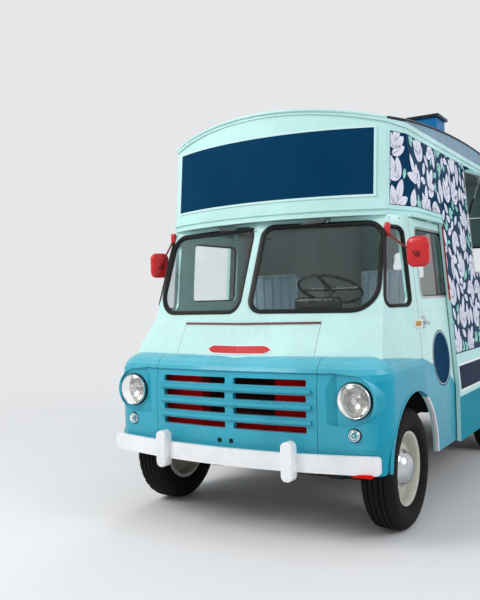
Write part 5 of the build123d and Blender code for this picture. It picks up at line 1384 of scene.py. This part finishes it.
def dial(x):
    """Bezel, face, and marks with a needle."""
    r, centre, along = DIAL_R, (x, DIAL_Y, DIAL_Z), (0, 1, 0)
    bezel = ((-0.002, r), (0.006, r + 0.001), (0.007, r - 0.004), (0.001, r - 0.005))
    plain = ((0.001, 0.0001), (0.001, r - 0.004), (-0.001, r - 0.004))
    half = Vector((0.001, 0.001, 0.001))
    marks = []
    for a in spaced(-0.6, 3.7, 11):
        spot = Vector((x + 0.030 * cos(a), DIAL_Y + 0.0015, DIAL_Z + 0.030 * sin(a)))
        marks.append(brick(spot - half, spot + half, 0.0003, 1))
    y = DIAL_Y + 0.0035
    needle = tube([(x, y, DIAL_Z), (x - 0.018, y, DIAL_Z + 0.018)], 0.0013, 6)
    return lathe(bezel, centre, along, 40), lathe(plain, centre, along, 40), merge(*marks, needle)


def engine_cover():
    """Box over the engine, with two bands across it."""
    cover = brick((-COVER_X, -1.414, 0.596), (COVER_X, -0.744, COVER_Z), 0.035, 4)
    x, top = COVER_X + BAND_OUT, COVER_Z + BAND_OUT
    bands = [brick((-x, y - 0.010, 0.62), (x, y + 0.010, top), 0.006) for y in BAND_YS]
    return merge(cover, *bands)


def pedal(x):
    return brick((x - 0.032, -1.735, 0.690), (x + 0.032, -1.722, 0.770), 0.004)


def pedal_stem(x):
    return tube([(x, -1.725, 0.70), (x, -1.745, 0.62), (x, -1.80, 0.597)], 0.007, 8)


piece("engine_cover", engine_cover(), "hump", sharp=25)
lever = merge(tube(LEVER_PATH, 0.007, 10), lathe(LEVER_KNOB, (0.278, -1.303, 0.99), (0.1, 0.3, 1), 20))
pedals = [shape(x) for shape in (pedal, pedal_stem) for x in PEDAL_XS]
piece("controls", merge(lever, *pedals), "plastic", sharp=30)
piece("dial_hood", brick((0.205, -1.668, 1.150), (0.465, -1.560, 1.262), 0.022, 4), "plastic", sharp=25)
bezels, dial_faces, needles = zip(dial(0.285), dial(0.385))
piece("dial_bezels", merge(*bezels), "chrome")
piece("dial_faces", merge(*dial_faces), "dial")
piece("dial_needles", merge(*needles), "plastic", sharp=25)
wheel_up = (0, sin(radians(25)), cos(radians(25)))
piece("horn_button", lathe(HORN_BUTTON, (0.335, -1.450, 1.305), wheel_up, 32), "chrome", "steering_wheel")


# Hatch, rear doors and load floor

HATCH_OPEN = radians(-20)
HATCH_TRIM = ((0.012, -0.001), (0.011, 0.002), (0.002, 0.003), (0.0, 0.002), (0.0, -0.001))
LEVER_X, LEVER_Z, GUTTER_Z = 0.062, 1.120, 2.022
LEVER_BOSS = ((-0.004, 0.0001), (-0.004, 0.024), (0.004, 0.023), (0.008, 0.012), (0.034, 0.0095),
              (0.036, 0.0001))
LEVER_GRIP = ((0.032, -0.013), (0.032, 0.010), (0.034, 0.050), (0.030, 0.089))


def hatch_ribs():
    """Ribs under the lid, laid flat and then turned to its slope about the hinge."""
    across, down = cos(HATCH_OPEN), sin(HATCH_OPEN)
    lid = Matrix(((across, 0, down, side_x(HATCH_Z[1]) + 0.009), (0, 1, 0, 0),
                  (down, 0, -across, HATCH_Z[1] + 0.004), (0, 0, 0, 1)))
    ribs = [brick((0.040, y - 0.016, 0.029), (0.715, y + 0.016, 0.040), 0.003) for y in (0.26, 0.575, 0.89)]
    ribs += [brick((s - 0.016, -0.010, 0.029), (s + 0.016, 1.160, 0.038), 0.003) for s in (0.060, 0.700)]
    verts, faces = moved(merge(*ribs), lid)
    return verts, [tuple(reversed(f)) for f in faces]


def hatch_trim():
    """Bright strip round the opening's two sides and sill."""
    line = [(HATCH_Y[0], z) for z in spaced(HATCH_Z[1], HATCH_Z[0], 10)]
    line += [(y, HATCH_Z[0]) for y in spaced(*HATCH_Y, 16)[1:-1]]
    line += [(HATCH_Y[1], z) for z in spaced(*HATCH_Z, 10)]
    return laid(flank, line, HATCH_TRIM, False)


def rear_lever():
    grip = [(LEVER_X, REAR_Y + dy, LEVER_Z + dz) for dy, dz in LEVER_GRIP]
    return merge(lathe(LEVER_BOSS, (LEVER_X, REAR_Y - 0.002, LEVER_Z), (0, 1, 0), 28), tube(grip, 0.0082, 14))


piece("hatch_ribs", hatch_ribs(), "steel", "hatch", sharp=25)
piece("hatch_trim", hatch_trim(), "alloy")
pair("rear_lever", rear_lever(), "chrome", "rear_door_{}")
gutter = [(x, REAR_Y + 0.002, GUTTER_Z - 0.012 * (x / 0.62) ** 2) for x in spaced(-0.63, 0.63, 21)]
piece("rear_gutter", tube(gutter, 0.0075, 10), "mint")
strips = [brick((x - 0.012, -0.60, 0.594), (x + 0.012, 1.84, 0.599), 0.002) for x in spaced(-0.42, 0.42, 4)]
piece("floor_strip", merge(*strips), "steel", sharp=25)


# Camera

CAMERA_PLACE = Vector((2.081, -5.309, 1.269))
CAMERA_YAW, CAMERA_PITCH, CAMERA_ROLL = radians(31.497), radians(-0.163), radians(-1.537)
FOCAL_PIXELS, FRAME_PIXELS, SENSOR = 720.87, 600, 36.0


def add_camera():
    ahead = Vector((-sin(CAMERA_YAW) * cos(CAMERA_PITCH), cos(CAMERA_YAW) * cos(CAMERA_PITCH),
                    sin(CAMERA_PITCH)))
    level = Vector((cos(CAMERA_YAW), sin(CAMERA_YAW), 0))
    upright = level.cross(ahead)
    right = cos(CAMERA_ROLL) * level + sin(CAMERA_ROLL) * upright
    up = cos(CAMERA_ROLL) * upright - sin(CAMERA_ROLL) * level
    data = bpy.data.cameras.new("camera")
    data.sensor_width, data.sensor_fit, data.lens = SENSOR, "AUTO", FOCAL_PIXELS / FRAME_PIXELS * SENSOR
    camera = bpy.data.objects.new("camera", data)
    turn = Matrix((right, up, -ahead)).transposed().to_4x4()
    camera.matrix_world = Matrix.Translation(CAMERA_PLACE + HOME) @ turn
    bpy.context.scene.collection.objects.link(camera)
    bpy.context.scene.camera = camera


# Floor, sky and lights

BACKDROP = (0.79, 0.80, 0.81, 1)
SKY = (0.60, 0.63, 0.67, 1)
FLOOR_REACH, FADE_START, FADE_END = 60, 3.2, 7.0
LIGHT_SIZE = 4.0
# Name, place, target, power and colour
LIGHTS = (
    ("key", (-3.5, -6.5, 6.0), (0, -0.8, 1.0), 330, (1.0, 0.97, 0.93)),
    ("side", (6.5, -1.5, 4.5), (0.6, 0, 1.2), 150, (0.96, 0.98, 1.0)),
    ("rear", (-3.0, 6.0, 5.0), (0, 1.0, 1.2), 140, (1.0, 1.0, 1.0)),
)


def looked_at(tree):
    """1 for rays that the eye, a mirror or a pane sends, 0 for those that only light the object."""
    path = tree.nodes.new("ShaderNodeLightPath")
    total = path.outputs["Is Camera Ray"]
    for kind in ("Is Glossy Ray", "Is Transmission Ray"):
        node = tree.nodes.new("ShaderNodeMath")
        node.operation, node.use_clamp = "ADD", True
        tree.links.new(total, node.inputs[0])
        tree.links.new(path.outputs[kind], node.inputs[1])
        total = node.outputs[0]
    return total


def floor_material():
    """Pale floor that fades into the backdrop."""
    net = Net("stage_floor")
    cloud = net.span(net.noise(0.8, 4), 0.3, 0.7)
    net.set(Base_Color=net.mix(net.times(cloud, 0.3), lin(0.90, 0.90, 0.90), lin(0.87, 0.87, 0.87)))
    net.set(Roughness=0.9, Specular_IOR_Level=0.2, Normal=net.bump(net.noise(60, 3), 0.05))
    distance = net.new("VectorMath")
    distance.operation = "LENGTH"
    net.put(distance.inputs[0], net.coords)
    far_off = net.span(distance.outputs["Value"], FADE_START, FADE_END)
    glow, blend = net.new("Emission"), net.new("MixShader")
    glow.inputs["Color"].default_value = BACKDROP
    net.put(blend.inputs[0], net.times(far_off, looked_at(net.mat.node_tree)))
    net.put(blend.inputs[1], net.shader.outputs[0])
    net.put(blend.inputs[2], glow.outputs[0])
    net.put(net.nodes["Material Output"].inputs[0], blend.outputs[0])
    return net.mat


def add_floor():
    mesh = bpy.data.meshes.new("ground")
    corners = box_outline(-FLOOR_REACH, FLOOR_REACH, -FLOOR_REACH, FLOOR_REACH)
    mesh.from_pydata([(x, y, 0) for x, y in corners], [], [(0, 1, 2, 3)])
    mesh.materials.append(floor_material())
    ground = bpy.data.objects.new("ground", mesh)
    bpy.context.scene.collection.objects.link(ground)


def add_sky():
    world = bpy.data.worlds.new("soft_sky")
    world.use_nodes = True
    tree = world.node_tree
    tone = tree.nodes.new("ShaderNodeMix")
    tone.data_type = "RGBA"
    tree.links.new(looked_at(tree), tone.inputs[0])
    tone.inputs[6].default_value = SKY
    tone.inputs[7].default_value = BACKDROP
    tree.links.new(tone.outputs[2], tree.nodes["Background"].inputs[0])
    tree.nodes["Background"].inputs[1].default_value = 1.0
    bpy.context.scene.world = world


def add_light(name, place, target, power, colour):
    data = bpy.data.lights.new(name, "AREA")
    data.shape, data.size, data.energy, data.color = "DISK", LIGHT_SIZE, power, colour
    lamp = bpy.data.objects.new(name, data)
    lamp.location = Vector(place) + HOME
    lamp.rotation_euler = (Vector(target) - Vector(place)).to_track_quat("-Z", "Y").to_euler()
    bpy.context.scene.collection.objects.link(lamp)


add_camera()
add_floor()
add_sky()
for light in LIGHTS:
    add_light(*light)
bpy.context.scene.view_settings.view_transform = "Standard"
